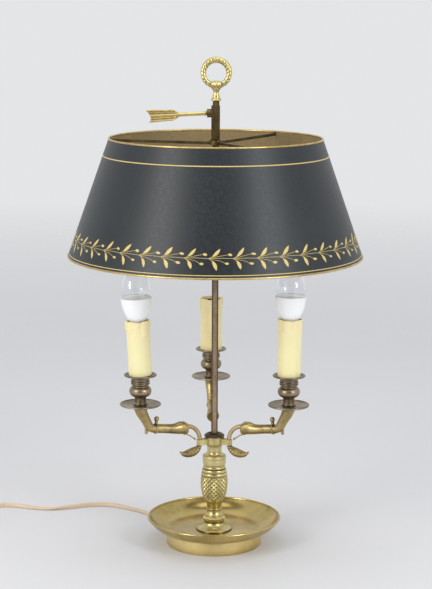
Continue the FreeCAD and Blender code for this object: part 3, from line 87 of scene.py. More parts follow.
def arc_points(start, middle, end, steps):
    """Points of the arc from start through middle to end, without start."""
    (ax, ay), (bx, by), (cx, cy) = start, middle, end
    d = 2 * (ax * (by - cy) + bx * (cy - ay) + cx * (ay - by))
    if abs(d) < NO_AREA:
        return [Vector(end)]
    a, b, c = ax * ax + ay * ay, bx * bx + by * by, cx * cx + cy * cy
    centre = Vector(((a * (by - cy) + b * (cy - ay) + c * (ay - by)) / d,
                     (a * (cx - bx) + b * (ax - cx) + c * (bx - ax)) / d))
    first, mid, last = (math.atan2(*(Vector(p) - centre).yx) for p in (start, middle, end))
    sweep = (last - first) % TAU
    if (mid - first) % TAU > sweep:
        sweep -= TAU
    radius = (Vector(start) - centre).length
    angles = [first + sweep * k / steps for k in range(1, steps + 1)]
    return [centre + radius * Vector((math.cos(angle), math.sin(angle))) for angle in angles]


def drawn(outline, steps=10):
    """Points of an outline whose entries are (r, z), or (r, z, r, z) for an arc through one to the other."""
    points = []
    for index, entry in enumerate(outline):
        if len(entry) == 2:
            points.append(Vector(entry))
        else:
            points += arc_points(outline[index - 1][-2:], entry[:2], entry[2:], steps)
    return points


def eased(points, ease):
    """A closed outline with each clear corner eased by a short curve."""
    out = []
    count = len(points)
    for index, here in enumerate(points):
        back = points[index - 1] - here
        ahead = points[(index + 1) % count] - here
        shortest = min(back.length, ahead.length)
        if shortest < NO_LENGTH or back.angle(-ahead) < CORNER or here.x < NO_LENGTH:
            out.append(here)
            continue
        reach = min(ease, shortest * EASE_SHARE)
        first, last = here + back.normalized() * reach, here + ahead.normalized() * reach
        out += [first * (1 - t) ** 2 + here * 2 * t * (1 - t) + last * t * t for t in EASE_STEPS]
    return out


def turned(outline, base_z=0.0, turns=96, ease=0.35, shape=None):
    """Rows of a closed outline turned about Z. shape(angle, r, z) may move each point."""
    ring = eased(drawn(outline), ease)
    rows = []
    for angle in around(turns):
        row = []
        for r, z in ring:
            if shape:
                r, z = shape(angle, r, z)
            row.append(polar(r, angle, z + base_z))
        rows.append(row)
    return rows


class Shape:
    """Points and faces of one piece, in millimetres, gathered from grids."""

    def __init__(self):
        self.points = []
        self.faces = []
        self.kinds = []

    def grid(self, rows, loop=True, ring=True, caps=False, kind=0, place=None):
        """Faces between rows of points. loop joins the last row to the first, ring each row's ends."""
        start = len(self.points)
        width = len(rows[0])
        for row in rows:
            self.points += [place @ point if place else point for point in row]
        last = len(rows) if loop else len(rows) - 1
        wide = width if ring else width - 1
        for i in range(last):
            low, high = start + i * width, start + (i + 1) % len(rows) * width
            for j in range(wide):
                k = (j + 1) % width
                self.faces.append((low + j, low + k, high + k, high + j))
                self.kinds.append(kind)
        if caps:
            end = start + (len(rows) - 1) * width
            self.faces.append(tuple(range(start, start + width)))
            self.faces.append(tuple(range(end, end + width)))
            self.kinds += [kind, kind]
        return self

    def piece(self, name, look, body="base", slot=None, stands_for=(), sharp=40):
        """A Blender object of these faces, on its body. Edges past sharp degrees stay crisp."""
        mesh = bpy.data.meshes.new(name)
        mesh.from_pydata([point * MM for point in self.points], [], self.faces)
        mesh.polygons.foreach_set("material_index", self.kinds)
        build = bmesh.new()
        build.from_mesh(mesh)
        bmesh.ops.remove_doubles(build, verts=build.verts, dist=NO_LENGTH)
        loose = [edge for edge in build.edges if not edge.link_faces]
        bmesh.ops.delete(build, geom=loose, context="EDGES")
        bmesh.ops.recalc_face_normals(build, faces=build.faces)
        build.to_mesh(mesh)
        build.free()
        mesh.shade_smooth()
        mesh.set_sharp_from_angle(angle=math.radians(sharp))
        for side_look in look if isinstance(look, list) else [look]:
            mesh.materials.append(looks[side_look])
        made = placed(name, mesh)
        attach(made, body)
        if stands_for:
            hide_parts(*stands_for)
        return made


def arm_place(side):
    return Matrix.Rotation(math.radians(ARMS[side]), 4, "Z")


def riser_place(side):
    return arm_place(side) @ Matrix.Translation((ARM_REACH, 0, 0))


def candle_place(side):
    """Where a candle stands: on its riser, leaning outwards, low edge on the cup."""
    lean = math.radians(CANDLE_LEANS[side])
    lift = Matrix.Translation((0, 0, STAND_ON * math.sin(lean)))
    seat = Matrix.Translation((ARM_REACH, 0, SLEEVE_Z))
    return arm_place(side) @ lift @ seat @ Matrix.Rotation(lean, 4, "Y")


def low_z(node):
    """Height of a node's lowest point."""
    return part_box(node)[0].z / MM


def smooth_step(value, low, high):
    """0 below low, 1 above high and a smooth rise between them."""
    share = min(1.0, max(0.0, (value - low) / (high - low)))
    return share * share * (3 - 2 * share)


# Materials
def srgb(red, green, blue):
    """Linear colour of a display colour given as 0 to 255."""
    parts = [value / 255 for value in (red, green, blue)]
    return (*[p / 12.92 if p <= 0.04045 else ((p + 0.055) / 1.055) ** 2.4 for p in parts], 1.0)


def added(tree, kind, inputs, **settings):
    """A new node, each of its inputs linked to a socket or set to a value."""
    node = tree.nodes.new(kind)
    for name, value in settings.items():
        setattr(node, name, value)
    for name, value in inputs.items():
        if isinstance(value, bpy.types.NodeSocket):
            tree.links.new(value, node.inputs[name])
        else:
            node.inputs[name].default_value = value
    return node


# Every finished look, by its name
looks = {}


class Paint:
    """A node material, kept in looks, with short calls for the node kinds used here."""

    def __init__(self, name, **sockets):
        self.material = bpy.data.materials.new(name)
        self.material.use_nodes = True
        looks[name] = self.material
        self.tree = self.material.node_tree
        self.shader = self.tree.nodes["Principled BSDF"]
        self.place = self.add("ShaderNodeTexCoord", {}).outputs["Object"]
        for socket, value in sockets.items():
            self.shader.inputs[socket.replace("_", " ")].default_value = value

    def add(self, kind, inputs, **settings):
        return added(self.tree, kind, inputs, **settings)

    def noise(self, scale, detail=4.0, rough=0.55, stretch=(1, 1, 1), shift=0.0):
        mapping = self.add("ShaderNodeMapping", {"Vector": self.place, "Scale": stretch,
                                                 "Location": (shift, shift * 0.7, shift * 1.3)})
        node = self.add("ShaderNodeTexNoise", {"Vector": mapping.outputs[0], "Scale": scale,
                                               "Detail": detail, "Roughness": rough})
        return node.outputs["Fac"]

    def axes(self):
        return self.add("ShaderNodeSeparateXYZ", {0: self.place}).outputs

    def math(self, operation, first, second=0.0):
        return self.add("ShaderNodeMath", {0: first, 1: second}, operation=operation).outputs[0]

    def between(self, value, low, high, to_low=0.0, to_high=1.0):
        node = self.add("ShaderNodeMapRange", {"Value": value, "From Min": low, "From Max": high,
                                               "To Min": to_low, "To Max": to_high})
        return node.outputs[0]

    def mix(self, share, first, second):
        return self.add("ShaderNodeMix", {0: share, 6: first, 7: second}, data_type="RGBA").outputs[2]

    def crease(self, reach, low=0.35, high=0.95):
        """1 in hollows and 0 in the open."""
        node = self.add("ShaderNodeAmbientOcclusion", {"Distance": reach}, samples=4)
        return self.between(node.outputs["AO"], low, high, 1.0, 0.0)

    def set(self, socket, value):
        self.tree.links.new(value, self.shader.inputs[socket])

    def bump(self, height, strength, reach=0.0002):
        node = self.add("ShaderNodeBump", {"Height": height, "Strength": strength, "Distance": reach})
        self.set("Normal", node.outputs[0])


def brass(name, light, mid, dark, rough, stain=0.6, grime=0.8, scale=1.0, shift=0.0, grain=0.12, uneven=0.2):
    """Aged brass: two tones in soft clouds, brown stains, darker hollows and a fine uneven gloss."""
    light, mid, dark = srgb(*light), srgb(*mid), srgb(*dark)
    paint = Paint(name, Metallic=1.0)
    cloud = paint.noise(34 * scale, 5, 0.6, shift=shift)
    tone = paint.mix(paint.between(cloud, 0.35, 0.65), mid, light)
    fleck = paint.noise(150 * scale, 7, 0.68, shift=shift + 3)
    tone = paint.mix(paint.between(fleck, 0.54, 0.74, 0.0, stain), tone, dark)
    tone = paint.mix(paint.math("MULTIPLY", paint.crease(0.007), grime), tone, dark)
    paint.set("Base Color", tone)
    paint.set("Roughness", paint.between(fleck, 0.3, 0.75, rough, rough + uneven))
    paint.bump(paint.noise(900 * scale, 3, 0.6), grain)


def plain(name, colour, second, rough, scale=120.0, grain=0.15, **sockets):
    """A non-metal in two close tones with a fine grain."""
    paint = Paint(name, **sockets)
    paint.set("Base Color", paint.mix(paint.noise(scale, 5), srgb(*colour), srgb(*second)))
    paint.set("Roughness", paint.between(paint.noise(scale * 3, 4), 0.3, 0.7, rough, rough + 0.12))
    paint.bump(paint.noise(scale * 9, 3), grain)


brass("dish_brass", (208, 186, 122), (170, 150, 92), (98, 80, 48),
    rough=0.2, stain=0.35, grime=0.9, scale=0.5, grain=0.03, uneven=0.06)
# The foot's brass is the dish's metal in paler tones: painted light on the foot.
brass("foot_brass", (244, 222, 160), (222, 196, 128), (150, 122, 76),
    rough=0.3, stain=0.3, grime=0.5, scale=0.5, shift=2, grain=0.03, uneven=0.08)
brass("column_brass", (222, 208, 152), (192, 176, 120), (96, 84, 52),
    rough=0.3, stain=0.5, grime=0.85, grain=0.06, uneven=0.12)
brass("arm_brass", (192, 170, 118), (150, 132, 92), (80, 66, 46),
    rough=0.3, stain=0.8, grime=0.95, shift=5, grain=0.2)
brass("tube_brass", (216, 194, 150), (190, 158, 118), (108, 84, 60),
    rough=0.25, stain=0.4, grime=0.8, shift=8)
brass("cup_brass", (166, 150, 124), (130, 116, 96), (66, 57, 46),
    rough=0.28, stain=0.55, grime=0.95, shift=11)
brass(
    "pan_brass", (172, 158, 136), (136, 124, 106), (66, 57, 50), rough=0.3, stain=0.55, grime=0.9, shift=14)
brass(
    "cap_brass", (110, 98, 74), (76, 66, 52), (36, 30, 26), rough=0.32, stain=0.6, grime=0.9, shift=17)
brass("finial_brass", (228, 214, 152), (202, 184, 118), (116, 98, 58),
    rough=0.24, stain=0.25, grime=0.9, scale=2.0)
brass("arrow_brass", (240, 218, 150), (212, 190, 124), (116, 98, 60),
    rough=0.34, stain=0.35, grime=0.8, scale=2.0)
brass("spider_brass", (128, 112, 76), (98, 84, 56), (50, 42, 30),
    rough=0.36, stain=0.5, grime=0.9, scale=2.0, shift=23)
brass("rim_gold", (222, 198, 138), (190, 160, 98), (96, 76, 44),
    rough=0.25, stain=0.5, grime=0.4, scale=1.5, shift=26)
brass("screw_brass", (206, 180, 110), (170, 144, 84), (90, 70, 40),
    rough=0.28, stain=0.3, grime=0.6, scale=2.0, shift=29)
brass("stem_steel", (190, 190, 188), (150, 150, 150), (90, 86, 80),
    rough=0.32, stain=0.3, grime=0.5, scale=2.0)
brass("cap_metal", (210, 210, 208), (180, 180, 180), (120, 118, 114),
    rough=0.25, stain=0.2, grime=0.5, scale=3.0)
brass("pin_metal", (214, 212, 206), (190, 188, 182), (130, 126, 120),
    rough=0.14, stain=0.15, grime=0.4, scale=3.0)
plain("ballast_iron", (42, 42, 44), (64, 60, 56), rough=0.6, scale=200, grain=0.6)
plain("felt", (44, 62, 46), (58, 76, 58), rough=0.85, scale=500, grain=0.9, Sheen_Weight=0.4)
plain("holder_plastic", (120, 112, 92), (96, 90, 76), rough=0.45)
plain("lead_cover", (128, 112, 86), (104, 90, 70), rough=0.5)
plain("switch_plastic", (226, 213, 194), (216, 201, 180), rough=0.34, scale=60)
plain("relief_rubber", (206, 184, 160), (192, 168, 144), rough=0.5)
plain(
    "bulb_white", (253, 254, 255), (249, 251, 254), rough=0.1, scale=40, grain=0.02, Coat_Weight=0.5)
plain("tie_plastic", (232, 230, 224), (216, 213, 205), rough=0.4)
plain("gilt", (234, 214, 142), (190, 160, 86), rough=0.38, scale=900, grain=0.3)


def flex_cover():
    """Soft pale flex cover with faint darker handling marks."""
    paint = Paint("flex_cover", Subsurface_Weight=0.08, Subsurface_Scale=0.001)
    tone = paint.mix(paint.noise(45, 4), srgb(226, 206, 180), srgb(206, 182, 154))
    marks = paint.between(paint.noise(260, 6, shift=2), 0.58, 0.8, 0.0, 0.5)
    paint.set("Base Color", paint.mix(marks, tone, srgb(150, 130, 108)))
    paint.set("Roughness", paint.between(paint.noise(90), 0.3, 0.7, 0.36, 0.5))
    paint.bump(paint.noise(1500, 2), 0.1)


def rod_patina():
    """Square brass rod gone brown: paler faces and chamfers darkened as painted shade, olive above and
    purple-brown below.
    """
    paint = Paint("rod_patina", Metallic=0.85)
    x, y, z = paint.axes()
    across = paint.math("ADD", paint.math("ABSOLUTE", x), paint.math("ABSOLUTE", y))
    # painted shade: a mask of the rod's chamfered corners, which turn away from the light
    edge = paint.between(across, 5.4 * MM, 6.3 * MM)
    blot = paint.noise(70, 7, 0.65, (1, 1, 0.3))
    low = paint.mix(paint.between(blot, 0.38, 0.66), srgb(134, 112, 98), srgb(196, 172, 134))
    high = paint.mix(paint.between(blot, 0.38, 0.66), srgb(120, 104, 72), srgb(182, 162, 112))
    face = paint.mix(paint.between(z, 0.30, 0.44), low, high)
    fleck = paint.between(paint.noise(420, 6, 0.7, shift=4), 0.55, 0.7, 0.0, 0.8)
    face = paint.mix(fleck, face, srgb(48, 38, 32))
    # the chamfers take a dark brown as painted shade
    paint.set("Base Color", paint.mix(paint.math("MULTIPLY", edge, 0.8), face, srgb(70, 58, 46)))
    paint.set("Roughness", paint.between(blot, 0.3, 0.7, 0.42, 0.28))
    paint.bump(paint.noise(700, 4, 0.6, (1, 1, 0.25)), 0.25)


def shade_paint(inside):
    """Painted sheet: blue-black outside with faint mottling and scratches, olive-gold brown inside."""
    paint = Paint("shade_inside" if inside else "shade_outside", Coat_Weight=0.0 if inside else 0.12,
                  Coat_Roughness=0.4)
    cloud = paint.noise(9 if inside else 14, 6, 0.6)
    mottle = paint.noise(330, 5, 0.7, shift=6)
    if inside:
        tone = paint.mix(cloud, srgb(150, 130, 88), srgb(120, 102, 68))
        tone = paint.mix(paint.between(mottle, 0.35, 0.75, 0.0, 0.6), tone, srgb(176, 154, 108))
    else:
        tone = paint.mix(paint.between(cloud, 0.3, 0.7), srgb(11, 18, 22), srgb(24, 31, 34))
        tone = paint.mix(paint.between(mottle, 0.4, 0.75, 0.0, 0.5), tone, srgb(42, 50, 53))
        worn = paint.between(paint.noise(1100, 8, 0.8, shift=9), 0.69, 0.74, 0.0, 0.8)
        tone = paint.mix(worn, tone, srgb(110, 104, 88))
    paint.set("Base Color", tone)
    paint.set("Roughness", paint.between(mottle, 0.3, 0.7, 0.38, 0.52))
    paint.bump(mottle, 0.12)


def wax(name, shift):
    """Candle sleeve plastic: cream with soft peach streaks down its length and a few specks."""
    paint = Paint(name, Subsurface_Weight=0.25, Subsurface_Scale=0.003)
    tone = paint.mix(paint.noise(24, 4, shift=shift), srgb(255, 240, 194), srgb(252, 230, 168))
    streak = paint.between(paint.noise(70, 5, 0.6, (1, 1, 0.12), shift + 2), 0.55, 0.74, 0.0, 0.7)
    tone = paint.mix(streak, tone, srgb(244, 206, 150))
    speck = paint.between(paint.noise(620, 3, 0.6, shift=shift + 4), 0.74, 0.79, 0.0, 0.8)
    paint.set("Base Color", paint.mix(speck, tone, srgb(150, 118, 74)))
    paint.set("Roughness", paint.between(streak, 0.0, 0.7, 0.38, 0.5))
    paint.bump(paint.noise(180, 4, 0.5, (1, 1, 0.4)), 0.12)


def clear_glass():
    paint = Paint("clear_glass", Transmission_Weight=1.0, IOR=1.46)
    paint.set("Roughness", paint.between(paint.noise(30), 0.3, 0.7, 0.0, 0.02))
    paint.set("Base Color", paint.mix(paint.noise(12), srgb(250, 251, 253), srgb(253, 254, 255)))
    shadow = paint.add("ShaderNodeLightPath", {}).outputs["Is Shadow Ray"]
    clear = paint.add("ShaderNodeBsdfTransparent", {})
    thin = paint.add("ShaderNodeMixShader", {0: shadow, 1: paint.shader.outputs[0], 2: clear.outputs[0]})
    paint.tree.links.new(thin.outputs[0], paint.tree.nodes["Material Output"].inputs["Surface"])


flex_cover()
rod_patina()
shade_paint(inside=False)
shade_paint(inside=True)
clear_glass()



# Carried CAD nodes and their materials
def dress(node, look):
    nodes[node].data.materials.clear()
    nodes[node].data.materials.append(looks[look])


for node, look in {
        "ballast_weight": "ballast_iron", "base_felt": "felt", "stem_tube": "stem_steel",
        "stem_nut": "stem_steel", "arm_hub": "column_brass", "main_rod": "rod_patina",
        "shade_spider": "spider_brass", "shade_sleeve": "spider_brass", "clamp_shoe": "screw_brass", "inner_wiring": "lead_cover",
        "switch_base": "switch_plastic", "switch_cover": "switch_plastic", "switch_rocker": "switch_plastic",
        "plug_body": "switch_plastic", "plug_pins": "pin_metal", "arm_nipples": "stem_steel",
        "holder_contacts": "screw_brass"}.items():
    dress(node, look)
for side in ARMS:
    for node, look in {"arm_horn": "arm_brass", "arm_tube": "tube_brass", "lamp_holder": "holder_plastic",
                           "bulb_cap": "cap_metal"}.items():
        if node + "_" + side in nodes:
            dress(node + "_" + side, look)


# The free flex: one flat twin cord from the foot through the switch to its coil and plug
CORD_WIDE = 5.4
CORD_THICK = 3.4
CORD_ROUTE = [(-33.3, 39.7, 5.6), (-50.5, 60.2, 5.6), (-67.5, 85.0, 1.7), (-86.0, 107.5, 1.7),
              (-108.0, 124.5, 1.7), (-131.0, 135.0, 1.7), (-152.0, 134.0, 1.7), (-172.0, 124.5, 1.7),
              (-194.0, 116.8, 1.7), (-217.0, 119.3, 1.7), (-240.0, 127.0, 1.7), (-259.0, 130.6, 1.7),
              (-276.7, 123.8, 1.7), (-287.5, 109.4, 5.0), (-289.1, 91.5, 6.5), (-289.9, 74.0, 6.5),
              (-291.0, 49.0, 6.5), (-292.1, 24.0, 6.5), (-292.7, 11.1, 6.0), (-292.0, -3.0, 1.9)]
# Where along the flex, in millimetres, it lies at which twist, in degrees
CORD_TWIST = [(0, 0), (95, 0), (150, 80), (180, 95), (225, 180), (262, 262), (300, 290), (335, 360),
              (9999, 360)]
COIL_CENTRE = (-321.0, -44.0)
COIL_TURNS = [(34.5, 1.75), (29.0, 1.75), (23.5, 1.75), (23.5, 5.25), (29.0, 5.25), (34.5, 5.25),
              (29.0, 8.75), (34.5, 8.75)]
COIL_STEPS = 16
COIL_SHIFT = 3
COIL_COUNT = 7.5
PLUG_TAIL = (-355.5, -23.0, 6.85)


def coil_points():
    """Control points of the coil, wound clockwise from its right side. Each turn keeps its radius and height
    until its last steps, where it shifts to the next turn's."""
    points = []
    for k in range(int(COIL_COUNT * COIL_STEPS) + 1):
        turn, step = divmod(k, COIL_STEPS)
        here = COIL_TURNS[turn]
        ahead = COIL_TURNS[min(turn + 1, len(COIL_TURNS) - 1)]
        share = max(0.0, (step - COIL_STEPS + COIL_SHIFT) / COIL_SHIFT)
        radius, z = (a + (b - a) * share for a, b in zip(here, ahead))
        angle = -TAU * k / COIL_STEPS
        # a control point lies a little outside the curve it draws
        radius /= math.cos(math.pi / COIL_STEPS)
        x, y = COIL_CENTRE
        points.append((x + radius * math.cos(angle), y + radius * math.sin(angle), z))
    return points


def spline_line(points, resolution):
    """Points in millimetres along the NURBS spline that has these control points."""
    curve = bpy.data.curves.new("route", "CURVE")
    curve.dimensions = "3D"
    spline = curve.splines.new("NURBS")
    spline.points.add(len(points) - 1)
    for point, place in zip(spline.points, points):
        point.co = (*[value * MM for value in place], 1)
    spline.order_u = 3
    spline.use_endpoint_u = True
    spline.resolution_u = resolution
    holder = bpy.data.objects.new("route", curve)
    mesh = bpy.data.meshes.new_from_object(holder)
    line = [vertex.co / MM for vertex in mesh.vertices]
    bpy.data.objects.remove(holder)
    bpy.data.curves.remove(curve)
    bpy.data.meshes.remove(mesh)
    return line


def looked_up(table, value, soft):
    """Value read off a table of points, with a soft or a straight run from point to point."""
    for (low, first), (high, second) in zip(table, table[1:]):
        if value <= high:
            share = smooth_step(value, low, high) if soft else (value - low) / (high - low)
            return first + (second - first) * share
    return table[-1][1]


def twin_section(steps=20):
    """Outline of a flat twin flex: two cores side by side with a shallow groove between them."""
    outline = []
    for angle in around(steps):
        wide = CORD_WIDE / 2 * math.cos(angle)
        thick = CORD_THICK / 2 * abs(math.sin(angle)) ** 0.7 * (1 - 0.24 * math.exp(-(wide / 0.6) ** 2))
        outline.append((wide, math.copysign(thick, math.sin(angle))))
    return outline


# Where the flex leaves the foot, and the rubber relief round it there
EXIT_AZIMUTH = math.radians(130)
EXIT_Z = 5.6
RELIEF_FROM = 51.4
RELIEF_TO = 77.5
RELIEF_BORE_R = 2.75
RELIEF_R = 3.9
RELIEF_TIP_R = 2.95
RIBS = 5
RIB_STEP = 2.6
RIB_SHRINK = 0.12
RIB_DEPTH = 0.4


def relief():
    """Tapered, ribbed rubber relief from inside the foot's wall to where the flex bends down."""
    outline = [(RELIEF_BORE_R, 0), (RELIEF_R, 0), (RELIEF_R, 4.5)]
    for k in range(RIBS):
        z, r = 5.5 + RIB_STEP * k, RELIEF_R - RIB_SHRINK * k
        outline += [(r, z), (r, z + 1.5), (r - RIB_DEPTH, z + 1.8), (r - RIB_DEPTH, z + 2.4)]
    length = RELIEF_TO - RELIEF_FROM
    outline += [(3.2, length - 3.0), (RELIEF_TIP_R, length), (RELIEF_BORE_R, length)]
    place = (Matrix.Rotation(EXIT_AZIMUTH, 4, "Z") @ Matrix.Translation((RELIEF_FROM, 0, EXIT_Z))
             @ Matrix.Rotation(math.pi / 2, 4, "Y"))
    Shape().grid(turned(outline, turns=48, ease=0.15), place=place).piece(
        "cord_taper", "relief_rubber", slot="relief_rubber", stands_for=["cord_relief"])


def coil_tie():
    """A twist tie round the bundle of turns, on the side away from the plug."""
    middle, half_wide, half_high, half_band, band, steps = 29.0, 9.2, 5.6, 2.2, 0.6, 40
    angle = math.radians(-62)
    out = Vector((math.cos(angle), math.sin(angle), 0))
    along = Vector((-math.sin(angle), math.cos(angle), 0))
    centre = Vector((*COIL_CENTRE, half_high + 0.1)) + out * middle
    rows = []
    for turn in around(steps):
        c, s = math.cos(turn), math.sin(turn)
        spread = (abs(c) ** 3 + abs(s) ** 3) ** (-1 / 3)
        row = []
        for side, lift in ((-half_band, 0), (-half_band, band), (half_band, band), (half_band, 0)):
            row.append(centre + out * c * spread * (half_wide - band + lift) + along * side
                       + Vector((0, 0, s * spread * (half_high - band + lift))))
        rows.append(row)
    Shape().grid(rows).piece("coil_tie", "tie_plastic", slot="relief_rubber")


def flex():
    """The flex itself, swept along its spline, with its relief and tie."""
    tail = Vector(PLUG_TAIL)
    route = CORD_ROUTE + coil_points() + [(tail.x, tail.y - 12, 7.6), (tail.x, tail.y - 5, 6.9), tuple(tail)]
    line = spline_line(route, 5)
    section = twin_section()
    rows, path = [], []
    travelled = 0.0
    for index, point in enumerate(line):
        before = line[max(0, index - 1)]
        after = line[min(len(line) - 1, index + 1)]
        travelled += (point - before).length
        ahead = (after - before).normalized()
        twist = math.radians(looked_up(CORD_TWIST, travelled, soft=True))
        level = ahead.cross(Vector((0, 0, 1))).normalized()
        top = level.cross(ahead)
        wide = level * math.cos(twist) + top * math.sin(twist)
        thick = top * math.cos(twist) - level * math.sin(twist)
        stands = math.hypot(CORD_WIDE / 2 * math.sin(twist), CORD_THICK / 2 * math.cos(twist))
        point = Vector((point.x, point.y, max(point.z, stands)))
        path.append(point * MM)
        rows.append([point + wide * a + thick * b for a, b in section])
    piece = Shape().grid(rows, loop=False, caps=True).piece(
        "flex", "flex_cover", slot="flex", stands_for=["flex_to_switch", "flex_to_coil", "flex_coil"],
        sharp=60)
    relief()
    coil_tie()


flex()


# Camera, light and floor, in metres
CAMERA_AT = (0.0010, -1.9238, 0.6346)
CAMERA_LENS = 105.45
CAMERA_DOWN = 10.12
CAMERA_ROLL = 0.3
SKY_COLOUR = (0.97, 0.98, 1.0, 1.0)
SKY_ON_LAMP = 0.68
SKY_SEEN = 0.8
FLOOR_HALF = 4
FLOOR_FADES = (1.2, 3.2)
LAMPS_AIM = (0, 0, 0.28)
# Name, azimuth and elevation in degrees, distance, size, watts and colour of each lamp
LAMPS = [("window_left", -48, 22, 2.0, (0.6, 1.2), 15, (1.0, 0.99, 0.97)),
         ("window_right", 46, 24, 2.0, (0.5, 1.1), 12, (0.97, 0.99, 1.0)),
         ("ceiling", 10, 82, 1.8, (1.2, 1.2), 6, (1.0, 1.0, 1.0))]


def camera():
    data = bpy.data.cameras.new("camera")
    data.sensor_width = 36
    data.lens = CAMERA_LENS
    holder = placed("camera", data)
    down = Matrix.Rotation(math.radians(90 - CAMERA_DOWN), 4, "X")
    roll = Matrix.Rotation(math.radians(CAMERA_ROLL), 4, "Z")
    holder.matrix_world = Matrix.Translation(CAMERA_AT) @ down @ roll
    bpy.context.scene.camera = holder
    bpy.context.scene.view_settings.view_transform = "Standard"


def lamp(name, azimuth, elevation, distance, size, power, colour):
    data = bpy.data.lights.new(name, "AREA")
    data.shape = "RECTANGLE"
    data.size, data.size_y = size
    data.energy = power
    data.color = colour
    holder = placed(name, data)
    a, e = math.radians(azimuth), math.radians(elevation)
    back = Vector((math.sin(a) * math.cos(e), -math.cos(a) * math.cos(e), math.sin(e)))
    holder.location = Vector(LAMPS_AIM) + back * distance
    holder.rotation_mode = "QUATERNION"
    holder.rotation_quaternion = (-back).to_track_quat("-Z", "Y")


def sky():
    """Plain pale light from all round, a little brighter where it is seen or reflected."""
    world = bpy.data.worlds.new("sky")
    world.use_nodes = True
    bpy.context.scene.world = world
    tree = world.node_tree
    path = tree.nodes.new("ShaderNodeLightPath")
    seen = path.outputs["Is Camera Ray"]
    for ray in ("Is Glossy Ray", "Is Transmission Ray"):
        seen = added(tree, "ShaderNodeMath", {0: seen, 1: path.outputs[ray]}, operation="MAXIMUM").outputs[0]
    strength = added(tree, "ShaderNodeMapRange", {"Value": seen, "To Min": SKY_ON_LAMP, "To Max": SKY_SEEN})
    back = tree.nodes["Background"]
    back.inputs["Color"].default_value = SKY_COLOUR
    tree.links.new(strength.outputs[0], back.inputs["Strength"])


def stage_plane(name, corners, material):
    mesh = bpy.data.meshes.new(name)
    mesh.from_pydata(corners, [], [tuple(range(len(corners)))])
    mesh.materials.append(material)
    holder = placed(name, mesh)
    return holder


def floor():
    """A pale table top that fades into the pale background far from the lamp."""
    paint = Paint("floor")
    x, y = paint.axes()[:2]
    far = paint.math("SQRT", paint.math("ADD", paint.math("MULTIPLY", x, x), paint.math("MULTIPLY", y, y)))
    clear = paint.add("ShaderNodeBsdfTransparent", {})
    share = paint.between(far, *FLOOR_FADES)
    blend = paint.add("ShaderNodeMixShader", {0: share, 1: paint.shader.outputs[0], 2: clear.outputs[0]})
    paint.tree.links.new(blend.outputs[0], paint.tree.nodes["Material Output"].inputs["Surface"])
    paint.set("Base Color", paint.mix(paint.noise(4), srgb(226, 226, 228), srgb(220, 220, 222)))
    paint.shader.inputs["Roughness"].default_value = 0.6
    half = FLOOR_HALF
    corners = [(-half, -half, 0), (half, -half, 0), (half, half, 0), (-half, half, 0)]
    stage_plane("floor", corners, paint.material)


def dark_card():
    """A card behind the camera that only reflections see, so that metal shows some contrast."""
    paint = Paint("card")
    paint.set("Base Color", paint.mix(paint.noise(3), srgb(46, 42, 38), srgb(58, 52, 46)))
    half, back, low, high = 1.3, -3.4, -0.2, 2.4
    corners = [(-half, back, low), (half, back, low), (half, back, high), (-half, back, high)]
    card = stage_plane("card", corners, paint.material)
    card.visible_camera = False
    card.visible_diffuse = False
    card.visible_shadow = False


camera()
sky()
floor()
dark_card()
for settings in LAMPS:
    lamp(*settings)


# Foot and column
BORE = 5.15
FINE_TURNS = 160


def dish():
    """A flat floor, a wall that curves up from it and a rolled bead at the rim."""
    flat, floor_z, sheet, rim_r, rim_z, bead = 50.0, 16.0, 1.3, 75.6, 30.2, 1.3
    out, rise = rim_r - flat, rim_z - (floor_z - sheet / 2)
    radius = (out * out + rise * rise) / (2 * rise)
    centre_z = floor_z - sheet / 2 + radius
    sweep = math.asin(out / radius)

    def wall(offset, share):
        angle = sweep * share
        return (flat + (radius + offset) * math.sin(angle), centre_z - (radius + offset) * math.cos(angle))

    half = sheet / 2
    outline = [(BORE, floor_z - sheet), (flat, floor_z - sheet), wall(half, 0.5) + wall(half, 1.0),
               wall(-half, 1.0), wall(-half, 0.5) + (flat, floor_z), (BORE, floor_z)]
    shape = Shape().grid(turned(outline, turns=FINE_TURNS))
    shape.grid(turned(round_bar(rim_r, rim_z, bead), turns=FINE_TURNS, ease=0))
    shape.piece("dish", "dish_brass", slot="dish_brass", stands_for=["base_dish"])


def round_bar(r, z, bar_r, steps=16):
    """Outline of a round bar that turned() bends into a ring."""
    return [(r + bar_r * math.cos(angle), z + bar_r * math.sin(angle)) for angle in around(steps)]


def foot():
    inner, outer, low, high = 53.3, 54.9, 0.4, 14.8
    shape = Shape().grid(turned([(inner, low), (outer, low), (outer, high), (inner, high)], turns=FINE_TURNS))
    # The foot takes the paler copy of the dish's brass, as painted light.
    shape.piece("foot", "foot_brass", slot="dish_brass", stands_for=["foot_ring"])


def milling(angle, r, z):
    """Raised ridges round a ring's belly."""
    ridges, depth = 26, 0.55
    swell = smooth_step(r, 11.3, 12.4)
    return r - depth * swell * abs(math.sin(angle * ridges)) ** 0.7, z


PINEAPPLE_HEIGHT = 27.4
PINEAPPLE_FOOT_R = 12.2


def diamonds(angle, r, z):
    """Crossing spiral grooves that leave rows of small pyramids."""
    if r < PINEAPPLE_FOOT_R - 0.2:
        return r, z
    turns, rise, proud, sunk = 9, 0.62, 1.0, 0.85
    first = abs(math.sin(angle * turns + z * rise))
    second = abs(math.sin(angle * turns - z * rise))
    fade = smooth_step(z, 0.4, 2.0) * smooth_step(PINEAPPLE_HEIGHT - 0.4 - z, 0.0, 1.6)
    return r + fade * (proud * min(first, second) ** 0.7 - sunk), z


